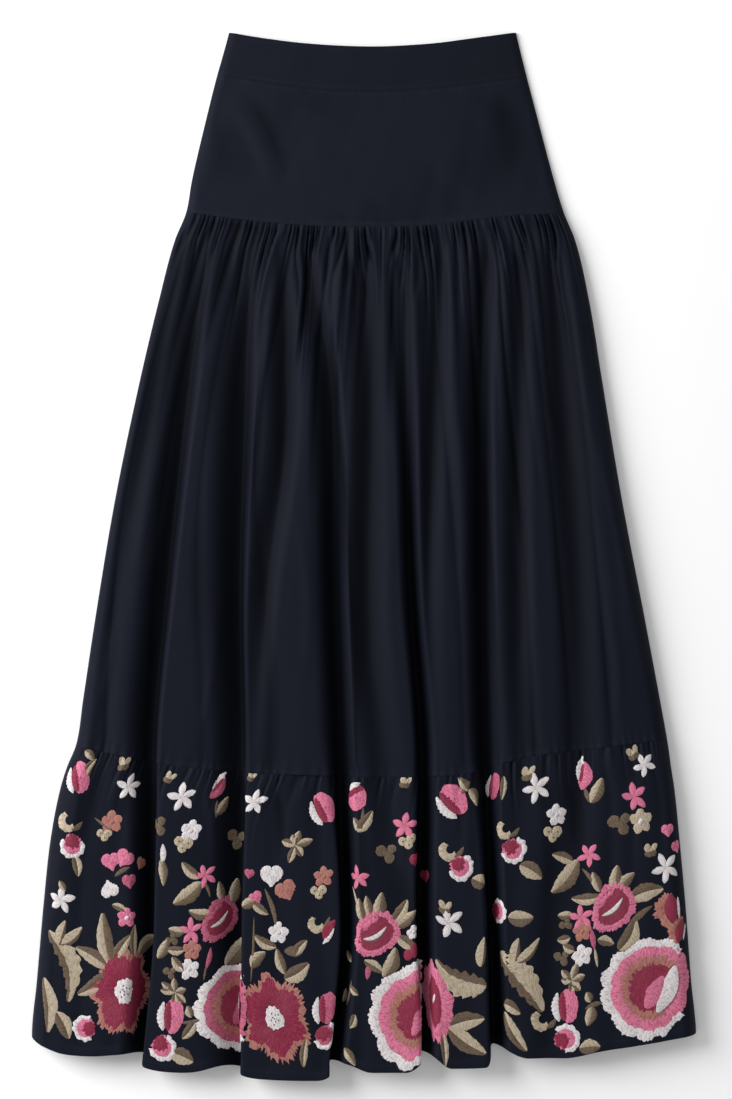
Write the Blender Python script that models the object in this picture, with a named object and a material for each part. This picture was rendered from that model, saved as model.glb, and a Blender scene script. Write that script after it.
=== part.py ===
"""A tiered maxi skirt lying flat on its back, as a maker cuts and sews it.

The waist points to +Y, the hem to -Y, and +Z is up from the surface it lies on. A waistband, a
smooth yoke and two gathered tiers each have a front and a back panel. The back panels lie flat on
the surface, and the front panels lie over them in folds that open towards the hem. Every panel is
a thin wall of cloth. Its sections run across the skirt at steps down its length.
"""

from typing import NamedTuple

import bpy
import numpy as np

MM = 0.001  # the sizes below are in millimetres

# Cloth and seams
CLOTH = 1.0  # one layer of poplin with its embroidery or seam allowance
BAND_CLOTH = 1.6  # the waistband is two layers with interfacing
BACK_CLOTH = 1.2  # the back panels
SEAM_GAP = 0.3  # between two panels at a seam
SIDE_GAP = 0.9  # between the back panel's edge and the front panel that folds down round it
LAY_GAP = 0.4  # between a back panel and the front cloth that lies on it

# Seam lines across the front, from the left side to the right side: (x, y)
WAIST_LINE = ((-135, 522), (-108, 517), (-60, 510.5), (6, 507), (66, 510), (118, 517), (152, 522))
BAND_SEAM = ((-147, 479), (-90, 470), (-32, 463.5), (8, 462), (70, 465), (120, 471.5), (163, 477))
YOKE_SEAM = ((-178, 342), (-102, 332), (-40, 328), (12, 327), (67, 329), (137, 337.5), (200, 341))
TIER_SEAM = (
    (-288, -190), (-264, -195), (-217, -204), (-147, -214), (-54, -219), (11, -221), (86, -219),
    (130, -209), (169, -200), (236, -192), (304, -183),
)
HEM_LINE = (
    (-332, -481), (-318, -489), (-298, -496), (-270, -498), (-232, -496), (-218, -497),
    (-200, -509), (-174, -514), (-140, -508), (-118, -511), (-92, -520), (-62, -522), (-48, -517),
    (-32, -504), (-16, -506), (8, -514), (30, -514), (44, -505), (54, -495), (70, -500),
    (86, -510), (112, -509), (128, -488), (142, -493), (164, -500), (198, -500), (236, -493),
    (276, -487), (332, -477),
)
BACK_HEM_LINE = ((-332, -481), (-300, -482), (-180, -483), (0, -483), (180, -482), (332, -477))

# The two sides of the skirt: (y, left x, right x)
SIDES = (
    (522, -135, 152), (507, -139, 155.5), (477, -147.5, 163), (435, -158, 174), (375, -172, 190),
    (342, -178, 200), (315, -189, 211), (255, -205, 225), (175, -224, 238), (55, -249, 258),
    (-65, -269, 281), (-145, -281, 296), (-190, -288, 304), (-212, -297, 307),
    (-235, -304, 310.5), (-285, -313.5, 315.5), (-345, -320, 321), (-425, -327, 327),
    (-481, -332, 332), (-530, -332, 332),
)

# Height of the front above the surface: (y, at the sides, in the middle, in a fold's valley)
HEIGHTS = (
    (530, 5.0, 11.5, 5.0), (479, 5.4, 11.5, 5.4), (400, 6.2, 10.8, 6.2), (335, 8.5, 11.5, 6.5),
    (285, 12.0, 15.0, 3.2), (155, 15.0, 18.0, 2.7), (-45, 17.0, 21.0, 2.7), (-185, 17.5, 22.0, 3.4),
    (-215, 18.5, 22.5, 4.4), (-255, 19.5, 23.0, 3.2), (-360, 21.0, 25.0, 2.7), (-530, 22.5, 27.0, 2.7),
)
SIDE_TURN = ((530, 8), (340, 10), (255, 13), (-530, 15))  # (y, how far in the side turns down)

# Large folds of the front. Each is a valley line: its x and its depth (1 reaches the floor) at the
# levels of y named here, how far its left and right walls reach at the top and at the hem, how far
# the cloth beside it leans over it (+ to the right), and where that lean is greatest.
FOLD_LEVELS = (330, 155, -45, -205, -360, -510)
FOLD_COLUMNS = ("x", "depth", "left_wall", "right_wall", "lean", "lean_place")
FOLDS = (
    ((-172, -210, -248, -262, -270, -275), (0.25, 0.55, 0.25, 0.12, 0.05, 0), (22, 30), (22, 30), 0, 0),
    ((-152, -177, -198, -210, -209, -219), (0.35, 0.95, 1, 1, 1, 1), (32, 28), (18, 19), -0.72, 18),
    ((-114, -119, -124, -121, -121, -119), (0.35, 0.95, 1, 0.95, 0.9, 0.9), (38, 44), (17, 18), -0.68, 16),
    ((-82, -78, -96, -104, -108, -110), (0.3, 0.7, 0.4, 0.1, 0, 0), (18, 20), (16, 20), 0, 0),
    ((-62, -34, -29, -24, -23, -36), (0.3, 0.8, 1, 1, 1, 1), (30, 17), (15, 20), 0.6, -18),
    ((0, 4, 2, 16, 22, 26), (0.4, 0.65, 0.6, 0.3, 0.08, 0), (22, 24), (22, 24), 0, 0),
    ((38, 41, 46, 57, 54, 57), (0.3, 0.6, 0.9, 1, 1, 1), (16, 17), (15, 18), 0.5, -16),
    ((74, 69, 64, 68, 72, 76), (0.3, 0.6, 0.3, 0.1, 0, 0), (16, 20), (17, 20), 0, 0),
    ((122, 117, 118, 121, 126, 130), (0.45, 0.95, 1, 1, 1, 1), (26, 17), (15, 15), 0.35, -16),
    ((158, 153, 153, 158, 164, 170), (0.3, 0.5, 0.4, 0.15, 0, 0), (19, 20), (19, 20), 0, 0),
    ((184, 196, 212, 214, 196, 188), (0.3, 0.7, 0.5, 0.35, 0.2, 0.15), (26, 34), (28, 34), 0, 0),
)
FOLD_STARTS = 48  # below the yoke seam, where the folds reach their depth
LEAN_REACH = 44  # how far to each side a lean fades out
LEAN_SHARES = (0.0, 0.1, 0.25, 0.5, 0.85, 1.0)  # of the lean, at FOLD_LEVELS
WALL_CHANGE = (60, 160)  # the walls change width from this far above the tier seam, over this length

# Soft waves between the large folds, from the yoke seam down
WAVES, WAVE_HEIGHT, WAVE_FADE = 16, 0.17, 190

# Gathers stitched into a seam: (how many on each side, crest height, height at the seam, length)
YOKE_GATHERS = {"count": 38, "crest": 1.5, "at_seam": 0.7, "length": 34}
TIER_GATHERS = {"count": 50, "crest": 1.1, "at_seam": 0.5, "length": 17}
CREST_PLACE = 7  # the crest's distance from the seam

# The back panels' soft ridges and gathers, which rise only where the front leaves them room
BACK_RIDGES = 9
BACK_RIDGE_HEIGHT = 5.0
BACK_RIDGE_STARTS = 80
BACK_GATHER_HEIGHT = 1.6
BACK_ROOM_SHARE = 0.45

# How the fronts are cut: (ending of the name, number of the fold in whose valley it starts, and of
# the one in whose valley it ends). The hem tier is longer cloth than one width gives, so three
# widths are joined in two of the valleys.
WHOLE_FRONT = (("", None, None),)
HEM_WIDTHS = (("_left", None, 4), ("_centre", 4, 8), ("_right", 8, None))

# Sections down each panel, as distances from its top seam; the last is its lower edge
BAND_ROWS = (0, 22, 44)
YOKE_ROWS = (0, 34, 70, 104, 135)
MIDDLE_ROWS = (0, 6, 20, 46, 86, 138, 196, 260, 326, 394, 466, 540)
HEM_ROWS = (0, 5, 15, 34, 72, 122, 180, 234, 285)
BACK_MIDDLE_ROWS = (0, 6, 20, 86, 196, 326, 466, 540)
BACK_HEM_ROWS = (0, 5, 15, 72, 122, 180, 234, 285)
GATHER_ROWS = 3  # the first rows of a gathered front, which carry its gathers
BACK_GATHER_ROWS = 2
PLAIN_COLUMNS = 30
PLAIN_BACK_COLUMNS = 16
FRONT_COLUMNS = 98
BACK_COLUMNS = 36
BEND_WEIGHT = 24  # how much closer together the columns lie where the cloth bends
SIDE_STEPS = (0.0, 0.035, 0.18, 0.5, 1.0)  # columns round the turned side, as shares of the turn
CUT_CLEAR = 0.004  # the share across that a cut end keeps clear of the next column
SLOPE_STEP = 2e-4  # the share across over which a section's direction is read
ROOM_REACH = 11  # how far round a back point the front over it is looked at

NAVY = (0.012, 0.0135, 0.021, 1.0)


class Panel(NamedTuple):
    """What one cut piece of cloth is made from."""

    front: bool
    top: tuple
    bottom: tuple
    rows: tuple
    wall: float
    front_wall: float
    columns: int
    gathers: dict | None
    gather_rows: int
    material: bpy.types.Material
    cut_folds: tuple = (None, None)


def smooth(points, at):
    """A monotone cubic through (x, y) points, whose x rises, read at the given places."""
    xs, ys = np.array(points, float).T
    step, rise = np.diff(xs), np.diff(ys)
    slopes = rise / step
    inner = np.where(slopes[1:] * slopes[:-1] > 0, (slopes[1:] + slopes[:-1]) / 2, 0.0)
    limit = 2.5 * np.minimum(abs(slopes[1:]), abs(slopes[:-1]))
    inner = np.clip(inner, -limit, limit)
    tangents = np.concatenate([[slopes[0]], inner, [slopes[-1]]])
    at = np.clip(at, xs[0], xs[-1])
    k = np.clip(np.searchsorted(xs, at, side="right") - 1, 0, len(xs) - 2)
    h, u = step[k], (at - xs[k]) / step[k]
    return (
        ys[k] * (2 * u**3 - 3 * u**2 + 1)
        + ys[k + 1] * (3 * u**2 - 2 * u**3)
        + tangents[k] * h * (u**3 - 2 * u**2 + u)
        + tangents[k + 1] * h * (u**3 - u**2)
    )


def down(rows, column, y):
    """A column of a table whose first column is y, read at the given y."""
    return smooth([(row[0], row[column]) for row in reversed(rows)], y)


def at_levels(values, y):
    """A value given at each of FOLD_LEVELS, read at the given y."""
    return smooth(tuple(zip(FOLD_LEVELS, values))[::-1], y)


def ease(u):
    u = np.clip(u, 0.0, 1.0)
    return u * u * (3 - 2 * u)


def bell(u):
    """1 at 0, falling smoothly to 0 at 1 and past it, rounder at its foot than at its top."""
    return (0.5 + 0.5 * np.cos(np.pi * np.clip(abs(u), 0.0, 1.0))) ** 1.25


def line_y(line, s):
    """The y of a seam line at the shares s of its way from left to right."""
    left, right = line[0][0], line[-1][0]
    return smooth(line, left + np.asarray(s, float) * (right - left))


def edges(y_left, y_right):
    return down(SIDES, 1, y_left), down(SIDES, 2, y_right)


def front_surface(s, y, y_left, y_right, folded):
    """Outer surface of the front: x and z at shares s across, on a row whose height is y."""
    left, right = edges(y_left, y_right)
    flat_x = left + s * (right - left)
    turn = down(SIDE_TURN, 1, y)
    inset = np.minimum(flat_x - left, right - flat_x)
    side = np.sqrt(np.clip(1 - (1 - np.minimum(inset / turn, 1)) ** 2, 0, 1))
    middle_share = 1 - (2 * s - 1) ** 2
    ridge = down(HEIGHTS, 1, y) * (1 - middle_share) + down(HEIGHTS, 2, y) * middle_share
    if not folded:
        return flat_x, ridge * side

    below_seam = line_y(YOKE_SEAM, s) - y
    starts = ease(below_seam / FOLD_STARTS)
    up, lean = np.ones_like(s), np.zeros_like(s)
    to_hem = ease((line_y(TIER_SEAM, s) + WALL_CHANGE[0] - y) / WALL_CHANGE[1])
    lean_share = at_levels(LEAN_SHARES, y) * starts
    for row in FOLDS:
        fold = dict(zip(FOLD_COLUMNS, row))
        away = flat_x - at_levels(fold["x"], y)
        left_wall, right_wall = (a + (b - a) * to_hem for a, b in (fold["left_wall"], fold["right_wall"]))
        reach = np.where(away < 0, left_wall, right_wall)
        up = up * (1 - at_levels(fold["depth"], y) * starts * bell(away / reach))
        lean = lean + fold["lean"] * lean_share * bell((away - fold["lean_place"]) / LEAN_REACH)
    waves = WAVE_HEIGHT * np.cos(2 * np.pi * (WAVES * s + 0.35 * np.sin(2 * np.pi * 3 * s)))
    waves = waves * starts * np.exp(-((below_seam / WAVE_FADE) ** 2))
    floor = down(HEIGHTS, 3, y)
    z = (floor + (ridge - floor) * up * (1 + waves)) * side
    return flat_x + lean * z, z


def gather_phase(gathers, s):
    """How many gathers lie left of s. They aren't evenly spaced."""
    uneven = 0.45 * np.sin(2 * np.pi * 3 * s + 0.6) + 0.28 * np.sin(2 * np.pi * 8 * s + 2.0)
    return gathers["count"] * s + uneven - 0.45 * np.sin(0.6) - 0.28 * np.sin(2.0)


def gather_columns(gathers):
    """Shares across at which each gather has its crest, its trough and the two places between."""
    fine = np.linspace(0, 1, 8001)
    quarters = np.arange(1, 4 * gathers["count"]) / 4
    return np.interp(quarters, gather_phase(gathers, fine), fine)


def gather_height(gathers, s, distance):
    """Height of the gathers at a distance from their seam: low in the stitches, then a crest."""
    crest = gathers["at_seam"] + (gathers["crest"] - gathers["at_seam"]) * ease(distance / CREST_PLACE)
    fade = np.exp(-((distance / gathers["length"]) ** 1.6))
    sides = ease(np.minimum(s, 1 - s) / 0.03)
    return crest * fade * sides * np.cos(2 * np.pi * gather_phase(gathers, s))


def section_place(panel, s, distance):
    """The y of each point of a section, and the y of its left and right ends."""
    share = distance / panel.rows[-1]
    inset = SEAM_GAP / 2 * (1 - 2 * share)

    def place(at):
        top, bottom = line_y(panel.top, at), line_y(panel.bottom, at)
        return top + (bottom - top) * share - inset

    y_left, y_right = place(np.array([0.0, 1.0]))
    return place(s), y_left, y_right


def front_section(panel, s, distance):
    """Outer and inner line of a front wall at one section: two arrays of (x, y, z)."""
    y, y_left, y_right = section_place(panel, s, distance)

    def outer(at):
        at = np.clip(at, 0, 1)
        return front_surface(at, np.interp(at, s, y), y_left, y_right, panel.gathers is not None)

    x, z = outer(s)
    before, after = outer(s - SLOPE_STEP), outer(s + SLOPE_STEP)
    along = np.stack([after[0] - before[0], after[1] - before[1]], 1)
    along /= np.linalg.norm(along, axis=1, keepdims=True)
    normal = np.stack([-along[:, 1], along[:, 0]], 1)
    normal[s == 0], normal[s == 1] = (-1, 0), (1, 0)
    if panel.gathers:
        height = gather_height(panel.gathers, s, distance)
        x, z = x + normal[:, 0] * height, z + normal[:, 1] * height
    outer_line = np.stack([x, y, z], 1)
    inner_line = np.stack([x - normal[:, 0] * panel.wall, y, z - normal[:, 1] * panel.wall], 1)
    return outer_line, inner_line


def room_under_front(x, s, y, y_left, y_right):
    """The room that the gathered front leaves over each point of a back section."""
    fine = np.linspace(0, 1, 1201)
    over_x, over_z = front_surface(fine, np.interp(fine, s, y), y_left, y_right, True)
    near = abs(over_x[None, :] - x[:, None]) < ROOM_REACH
    lowest = np.where(near, over_z[None, :], np.inf).min(1)
    return np.maximum(lowest - CLOTH - TIER_GATHERS["crest"] - LAY_GAP - BACK_CLOTH, 0)


def back_section(panel, s, distance):
    """Upper and under line of a back wall at one section. The under line rests at z = 0."""
    y, y_left, y_right = section_place(panel, s, distance)
    left, right = edges(y_left, y_right)
    clear = panel.front_wall + SIDE_GAP
    x = left + clear + s * (right - left - 2 * clear)
    z = np.zeros_like(s)
    if panel.gathers:
        ridges = np.cos(2 * np.pi * (BACK_RIDGES * s + 0.3 * np.sin(2 * np.pi * 3 * s)))
        ridges = BACK_RIDGE_HEIGHT * np.clip(ridges, 0, 1) ** 2 * ease(distance / BACK_RIDGE_STARTS)
        gathers = gather_height(panel.gathers, s, distance) / panel.gathers["crest"]
        gathers = BACK_GATHER_HEIGHT * np.clip(gathers, 0, 1)
        room = BACK_ROOM_SHARE * room_under_front(x, s, y, y_left, y_right)
        z = np.minimum(ridges + gathers, room) * ease(np.minimum(s, 1 - s) / 0.04)
    under = np.stack([x, y, z], 1)
    return under + (0, 0, panel.wall), under


def bent_columns(panel):
    """Shares across for a front's plain sections, closer together where the folds bend."""
    s = np.linspace(0, 1, 1601)
    weight = np.zeros(len(s) - 1)
    for distance in panel.rows[panel.gather_rows:]:
        line, _ = front_section(panel, s, distance)
        step = np.diff(line[:, [0, 2]], axis=0)
        angle = np.unwrap(np.arctan2(step[:, 1], step[:, 0]))
        bend = np.convolve(np.abs(np.gradient(angle)), np.ones(21) / 21, "same")
        weight += np.linalg.norm(step, axis=1) + BEND_WEIGHT * bend
    reached = np.concatenate([[0], np.cumsum(weight / weight.sum())])
    return np.interp(np.linspace(0, 1, panel.columns + 1), reached, s)


def valley_share(panel, fold, distance):
    """The share across at which a section meets a fold's valley, and the section's width."""
    share = np.array([0.5])
    for _ in range(4):
        y, y_left, y_right = section_place(panel, share, distance)
        left, right = edges(y_left, y_right)
        share = (at_levels(FOLDS[fold][0], y) - left) / (right - left)
    return share[0], (right - left)


def cut_columns(panel, columns, distance):
    """The columns of a piece that is cut from a panel, with half a seam's gap left at each cut."""
    first, last = panel.cut_folds
    if first is not None:
        valley, width = valley_share(panel, first, distance)
        start = valley + SEAM_GAP / 2 / width
        columns = np.concatenate([[start], columns[columns > start + CUT_CLEAR]])
    if last is not None:
        valley, width = valley_share(panel, last, distance)
        end = valley - SEAM_GAP / 2 / width
        columns = np.concatenate([columns[columns < end - CUT_CLEAR], [end]])
    return columns


def section_columns(panel):
    """Shares across at which each section of a panel has its points."""
    side = np.array([0.0])
    if panel.front:
        left, right = edges(*line_y(panel.top, np.array([0.0, 1.0])))
        turn = down(SIDE_TURN, 1, np.array([panel.top[0][1]]))[0]
        side = np.array(SIDE_STEPS) * turn / (right - left)
    if panel.front and panel.gathers:
        plain = bent_columns(panel)
    else:
        plain = np.linspace(0, 1, panel.columns + 1)
    columns = []
    for k in range(len(panel.rows)):
        middle = gather_columns(panel.gathers) if panel.gathers and k < panel.gather_rows else plain
        clear = side[-1] + 0.004
        middle = middle[(middle > clear) & (middle < 1 - clear)]
        across = np.concatenate([side, middle, 1 - side[::-1]])
        columns.append(cut_columns(panel, across, panel.rows[k]))
    return columns


def stitch(first, second, s_first, s_second):
    """Triangles between two sections, given as point numbers and their shares across."""
    faces, i, j = [], 0, 0
    while i < len(first) - 1 or j < len(second) - 1:
        step_first = j == len(second) - 1 or (
            i < len(first) - 1
            and s_first[i + 1] + s_first[i] <= s_second[j + 1] + s_second[j]
        )
        if step_first:
            faces.append((first[i], second[j], first[i + 1]))
            i += 1
        else:
            faces.append((first[i], second[j], second[j + 1]))
            j += 1
    return faces


def rim(first, second):
    """Two triangles for each step between two lines of as many points."""
    faces = []
    for a, b, c, d in zip(first[:-1], first[1:], second[1:], second[:-1]):
        faces += [(a, b, c), (a, c, d)]
    return faces


def wall_mesh(name, sections, columns):
    """A closed wall from its sections: its upper side, its under side and its four rims."""
    points, upper, under = [], [], []
    for upper_line, under_line in sections:
        for line, numbers in ((upper_line, upper), (under_line, under)):
            numbers.append(np.arange(len(line)) + len(points))
            points.extend(line)
    faces = []
    for k in range(len(sections) - 1):
        faces += stitch(upper[k], upper[k + 1], columns[k], columns[k + 1])
        faces += [(a, c, b) for a, b, c in stitch(under[k], under[k + 1], columns[k], columns[k + 1])]
    faces += rim(upper[0], under[0])
    faces += rim(under[-1], upper[-1])
    faces += rim([line[0] for line in under], [line[0] for line in upper])
    faces += rim([line[-1] for line in upper], [line[-1] for line in under])
    mesh = bpy.data.meshes.new(name)
    mesh.from_pydata(np.array(points) * MM, [], faces)
    mesh.validate()
    return mesh


def panel_object(name, panel, parent):
    section = front_section if panel.front else back_section
    columns = section_columns(panel)
    sections = [section(panel, s, distance) for s, distance in zip(columns, panel.rows)]
    mesh = wall_mesh(name, sections, columns)
    mesh.materials.append(panel.material)
    mesh.shade_smooth()
    made = bpy.data.objects.new(name, mesh)
    bpy.context.scene.collection.objects.link(made)
    made.parent = parent
    return made


def cloth_material(name, roughness):
    material = bpy.data.materials.new(name)
    material.use_nodes = True
    shader = material.node_tree.nodes["Principled BSDF"]
    shader.inputs["Base Color"].default_value = NAVY
    shader.inputs["Roughness"].default_value = roughness
    shader.inputs["Metallic"].default_value = 0.0
    shader.inputs["Sheen Weight"].default_value = 0.2
    return material


def main():
    for old in list(bpy.data.objects):
        bpy.data.objects.remove(old)
    skirt = bpy.data.objects.new("skirt", None)
    bpy.context.scene.collection.objects.link(skirt)
    poplin = cloth_material("navy_poplin", 0.8)
    stiffened = cloth_material("navy_waistband", 0.78)

    # name, top seam, lower edge, front and back sections, front and back columns, gathers, cut
    plain_columns = (PLAIN_COLUMNS, PLAIN_BACK_COLUMNS)
    folded_columns = (FRONT_COLUMNS, BACK_COLUMNS)
    for name, top, lower, rows, columns, gathers, cut in (
        ("waistband", WAIST_LINE, (BAND_SEAM,) * 2, (BAND_ROWS,) * 2, plain_columns, None, WHOLE_FRONT),
        ("yoke", BAND_SEAM, (YOKE_SEAM,) * 2, (YOKE_ROWS,) * 2, plain_columns, None, WHOLE_FRONT),
        (
            "middle_tier", YOKE_SEAM, (TIER_SEAM,) * 2, (MIDDLE_ROWS, BACK_MIDDLE_ROWS),
            folded_columns, YOKE_GATHERS, WHOLE_FRONT,
        ),
        (
            "hem_tier", TIER_SEAM, (HEM_LINE, BACK_HEM_LINE), (HEM_ROWS, BACK_HEM_ROWS),
            folded_columns, TIER_GATHERS, HEM_WIDTHS,
        ),
    ):
        wall = BAND_CLOTH if name == "waistband" else CLOTH
        material = stiffened if name == "waistband" else poplin
        front = Panel(
            True, top, lower[0], rows[0], wall, wall, columns[0], gathers, GATHER_ROWS, material)
        back = Panel(
            False, top, lower[1], rows[1], BACK_CLOTH, wall, columns[1], gathers, BACK_GATHER_ROWS, material)
        for ending, *cut_folds in cut:
            panel_object(name + "_front" + ending, front._replace(cut_folds=cut_folds), skirt)
        panel_object(name + "_back", back, skirt)


main()
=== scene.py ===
import math

import bpy
import numpy as np
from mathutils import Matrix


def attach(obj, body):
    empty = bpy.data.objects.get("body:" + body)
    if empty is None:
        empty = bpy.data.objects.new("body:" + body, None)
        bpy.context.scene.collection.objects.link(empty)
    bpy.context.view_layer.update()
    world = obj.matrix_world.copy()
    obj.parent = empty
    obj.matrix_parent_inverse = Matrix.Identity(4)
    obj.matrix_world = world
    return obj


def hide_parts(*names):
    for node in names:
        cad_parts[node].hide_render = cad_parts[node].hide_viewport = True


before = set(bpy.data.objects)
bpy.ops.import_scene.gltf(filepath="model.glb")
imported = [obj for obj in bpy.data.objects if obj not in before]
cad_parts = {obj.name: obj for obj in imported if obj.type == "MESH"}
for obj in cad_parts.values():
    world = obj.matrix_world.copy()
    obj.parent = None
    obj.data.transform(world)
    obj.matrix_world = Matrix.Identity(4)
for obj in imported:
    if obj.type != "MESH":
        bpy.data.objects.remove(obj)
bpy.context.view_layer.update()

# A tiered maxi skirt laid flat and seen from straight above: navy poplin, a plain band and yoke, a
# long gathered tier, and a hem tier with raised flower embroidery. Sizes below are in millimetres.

mm = 0.001

# The laid shape

laid = {
    # seam lines across the front, left to right, as (x, y)
    "waistLine": ((-135, 522), (-108, 517), (-60, 510.5), (6, 507), (66, 510), (118, 517), (152, 522)),
    "bandSeam": ((-147, 479), (-90, 470), (-32, 463.5), (8, 462), (70, 465), (120, 471.5), (163, 477)),
    "yokeSeam": ((-178, 342), (-102, 332), (-40, 328), (12, 327), (67, 329), (137, 337.5), (200, 341)),
    "tierSeam": (
        (-288, -190), (-264, -195), (-217, -204), (-147, -214), (-54, -219), (11, -221), (86, -219),
        (130, -209), (169, -200), (236, -192), (304, -183),
    ),
    "hemLine": (
        (-332, -481), (-318, -489), (-298, -496), (-270, -498), (-232, -496), (-218, -497),
        (-200, -509), (-174, -514), (-140, -508), (-118, -511), (-92, -520), (-62, -522), (-48, -517),
        (-32, -504), (-16, -506), (8, -514), (30, -514), (44, -505), (54, -495), (70, -500),
        (86, -510), (112, -509), (128, -488), (142, -493), (164, -500), (198, -500), (236, -493),
        (276, -487), (332, -477),
    ),
    "backHemLine": ((-332, -481), (-300, -482), (-180, -483), (0, -483), (180, -482), (332, -477)),
    # the two sides as (y, left x, right x)
    "sides": (
        (522, -135, 152), (507, -139, 155.5), (477, -147.5, 163), (435, -158, 174), (375, -172, 190),
        (342, -178, 200), (315, -189, 211), (255, -205, 225), (175, -224, 238), (55, -249, 258),
        (-65, -269, 281), (-145, -281, 296), (-190, -288, 304), (-212, -297, 307),
        (-235, -304, 310.5), (-285, -313.5, 315.5), (-345, -320, 321), (-425, -327, 327),
        (-481, -332, 332), (-530, -332, 332),
    ),
    # height of the front as (y, at the sides, in the middle, in a fold's valley)
    "heights": (
        (530, 5.0, 11.5, 5.0), (479, 5.4, 11.5, 5.4), (400, 6.2, 10.8, 6.2), (335, 8.5, 11.5, 6.5),
        (285, 12.0, 15.0, 3.2), (155, 15.0, 18.0, 2.7), (-45, 17.0, 21.0, 2.7), (-185, 17.5, 22.0, 3.4),
        (-215, 18.5, 22.5, 4.4), (-255, 19.5, 23.0, 3.2), (-360, 21.0, 25.0, 2.7), (-530, 22.5, 27.0, 2.7),
    ),
    "sideTurn": ((530, 8), (340, 10), (255, 13), (-530, 15)),  # (y, how far in the side turns down)
}

# Each fold is a valley line: its x and depth at the levels of y, how far its two walls reach at the
# top and at the hem, how far the cloth beside it leans over it, and where it leans most
folds = {
    "levels": (330, 155, -45, -205, -360, -510),
    "columns": ("x", "depth", "leftWall", "rightWall", "lean", "leanPlace"),
    "rows": (
        ((-172, -210, -248, -262, -270, -275), (0.25, 0.55, 0.25, 0.12, 0.05, 0), (22, 30), (22, 30), 0, 0),
        ((-152, -177, -198, -210, -209, -219), (0.35, 0.95, 1, 1, 1, 1), (32, 28), (18, 19), -0.72, 18),
        ((-114, -119, -124, -121, -121, -119), (0.35, 0.95, 1, 0.95, 0.9, 0.9), (38, 44), (17, 18), -0.68, 16),
        ((-82, -78, -96, -104, -108, -110), (0.3, 0.7, 0.4, 0.1, 0, 0), (18, 20), (16, 20), 0, 0),
        ((-62, -34, -29, -24, -23, -36), (0.3, 0.8, 1, 1, 1, 1), (30, 17), (15, 20), 0.6, -18),
        ((0, 4, 2, 16, 22, 26), (0.4, 0.65, 0.6, 0.3, 0.08, 0), (22, 24), (22, 24), 0, 0),
        ((38, 41, 46, 57, 54, 57), (0.3, 0.6, 0.9, 1, 1, 1), (16, 17), (15, 18), 0.5, -16),
        ((74, 69, 64, 68, 72, 76), (0.3, 0.6, 0.3, 0.1, 0, 0), (16, 20), (17, 20), 0, 0),
        ((122, 117, 118, 121, 126, 130), (0.45, 0.95, 1, 1, 1, 1), (26, 17), (15, 15), 0.35, -16),
        ((158, 153, 153, 158, 164, 170), (0.3, 0.5, 0.4, 0.15, 0, 0), (19, 20), (19, 20), 0, 0),
        ((184, 196, 212, 214, 196, 188), (0.3, 0.7, 0.5, 0.35, 0.2, 0.15), (26, 34), (28, 34), 0, 0),
    ),
    "starts": 48,  # below the yoke seam, where the folds reach their depth
    "leanReach": 44,
    "leanShares": (0, 0.32, 0.5, 0.65, 0.9, 1),
    "wallChange": (60, 160),
    "waves": 16,
    "waveHeight": 0.17,
    "waveFade": 190,
}


def ease(u):
    # 3u^2 - 2u^3, flat at 0 and at 1
    u = np.clip(u, 0, 1)
    return u * u * (3 - 2 * u)


def bell(u):
    # a raised cosine to the power 1.25: 1 at 0, falling to 0 at 1
    return (0.5 + 0.5 * np.cos(np.pi * np.clip(abs(u), 0, 1))) ** 1.25


def fade(distance, reach, power=1.5):
    # exp of minus a power of distance over reach: 1 at 0, and small past the reach
    return np.exp(-((distance / reach) ** power))


def smoothCurve(points, at):
    # a smooth curve through (x, y) points: cubic Hermite pieces whose tangents are the mean of the two
    # slopes beside each point, at most 2.5 times the smaller, and 0 where the curve turns
    xs, ys = np.array(points, float).T
    step, rise = np.diff(xs), np.diff(ys)
    slopes = rise / step
    inner = np.where(slopes[1:] * slopes[:-1] > 0, (slopes[1:] + slopes[:-1]) / 2, 0.0)
    limit = 2.5 * np.minimum(abs(slopes[1:]), abs(slopes[:-1]))
    tangents = np.concatenate([[slopes[0]], np.clip(inner, -limit, limit), [slopes[-1]]])
    at = np.clip(at, xs[0], xs[-1])
    k = np.clip(np.searchsorted(xs, at, side="right") - 1, 0, len(xs) - 2)
    h, u = step[k], (at - xs[k]) / step[k]
    return (
        ys[k] * (2 * u**3 - 3 * u**2 + 1) + ys[k + 1] * (3 * u**2 - 2 * u**3)
        + tangents[k] * h * (u**3 - 2 * u**2 + u) + tangents[k + 1] * h * (u**3 - u**2)
    )


def readDown(table, column, y):
    # one column of a table whose rows begin with y, read at y
    return smoothCurve([(row[0], row[column]) for row in reversed(table)], y)


def atLevels(values, y):
    # what a fold has at its levels, read at y
    return smoothCurve(tuple(zip(folds["levels"], values))[::-1], y)


def seamY(line, s):
    # y of a seam line at shares s of its width
    left, right = line[0][0], line[-1][0]
    return smoothCurve(line, left + np.asarray(s, float) * (right - left))


def panelPlace(panel, s, down):
    # y of the grid: a straight run from the top seam to the lower edge, at shares s across and at
    # distances down the panel; also the x of each row's two ends
    share = down[:, None] / panel["depth"]

    def between(s):
        return seamY(laid[panel["top"]], s) * (1 - share) + seamY(laid[panel["lower"]], s) * share

    left, right = [readDown(laid["sides"], column, between(end)) for column, end in ((1, 0.0), (2, 1.0))]
    return between(s), left, right


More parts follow.
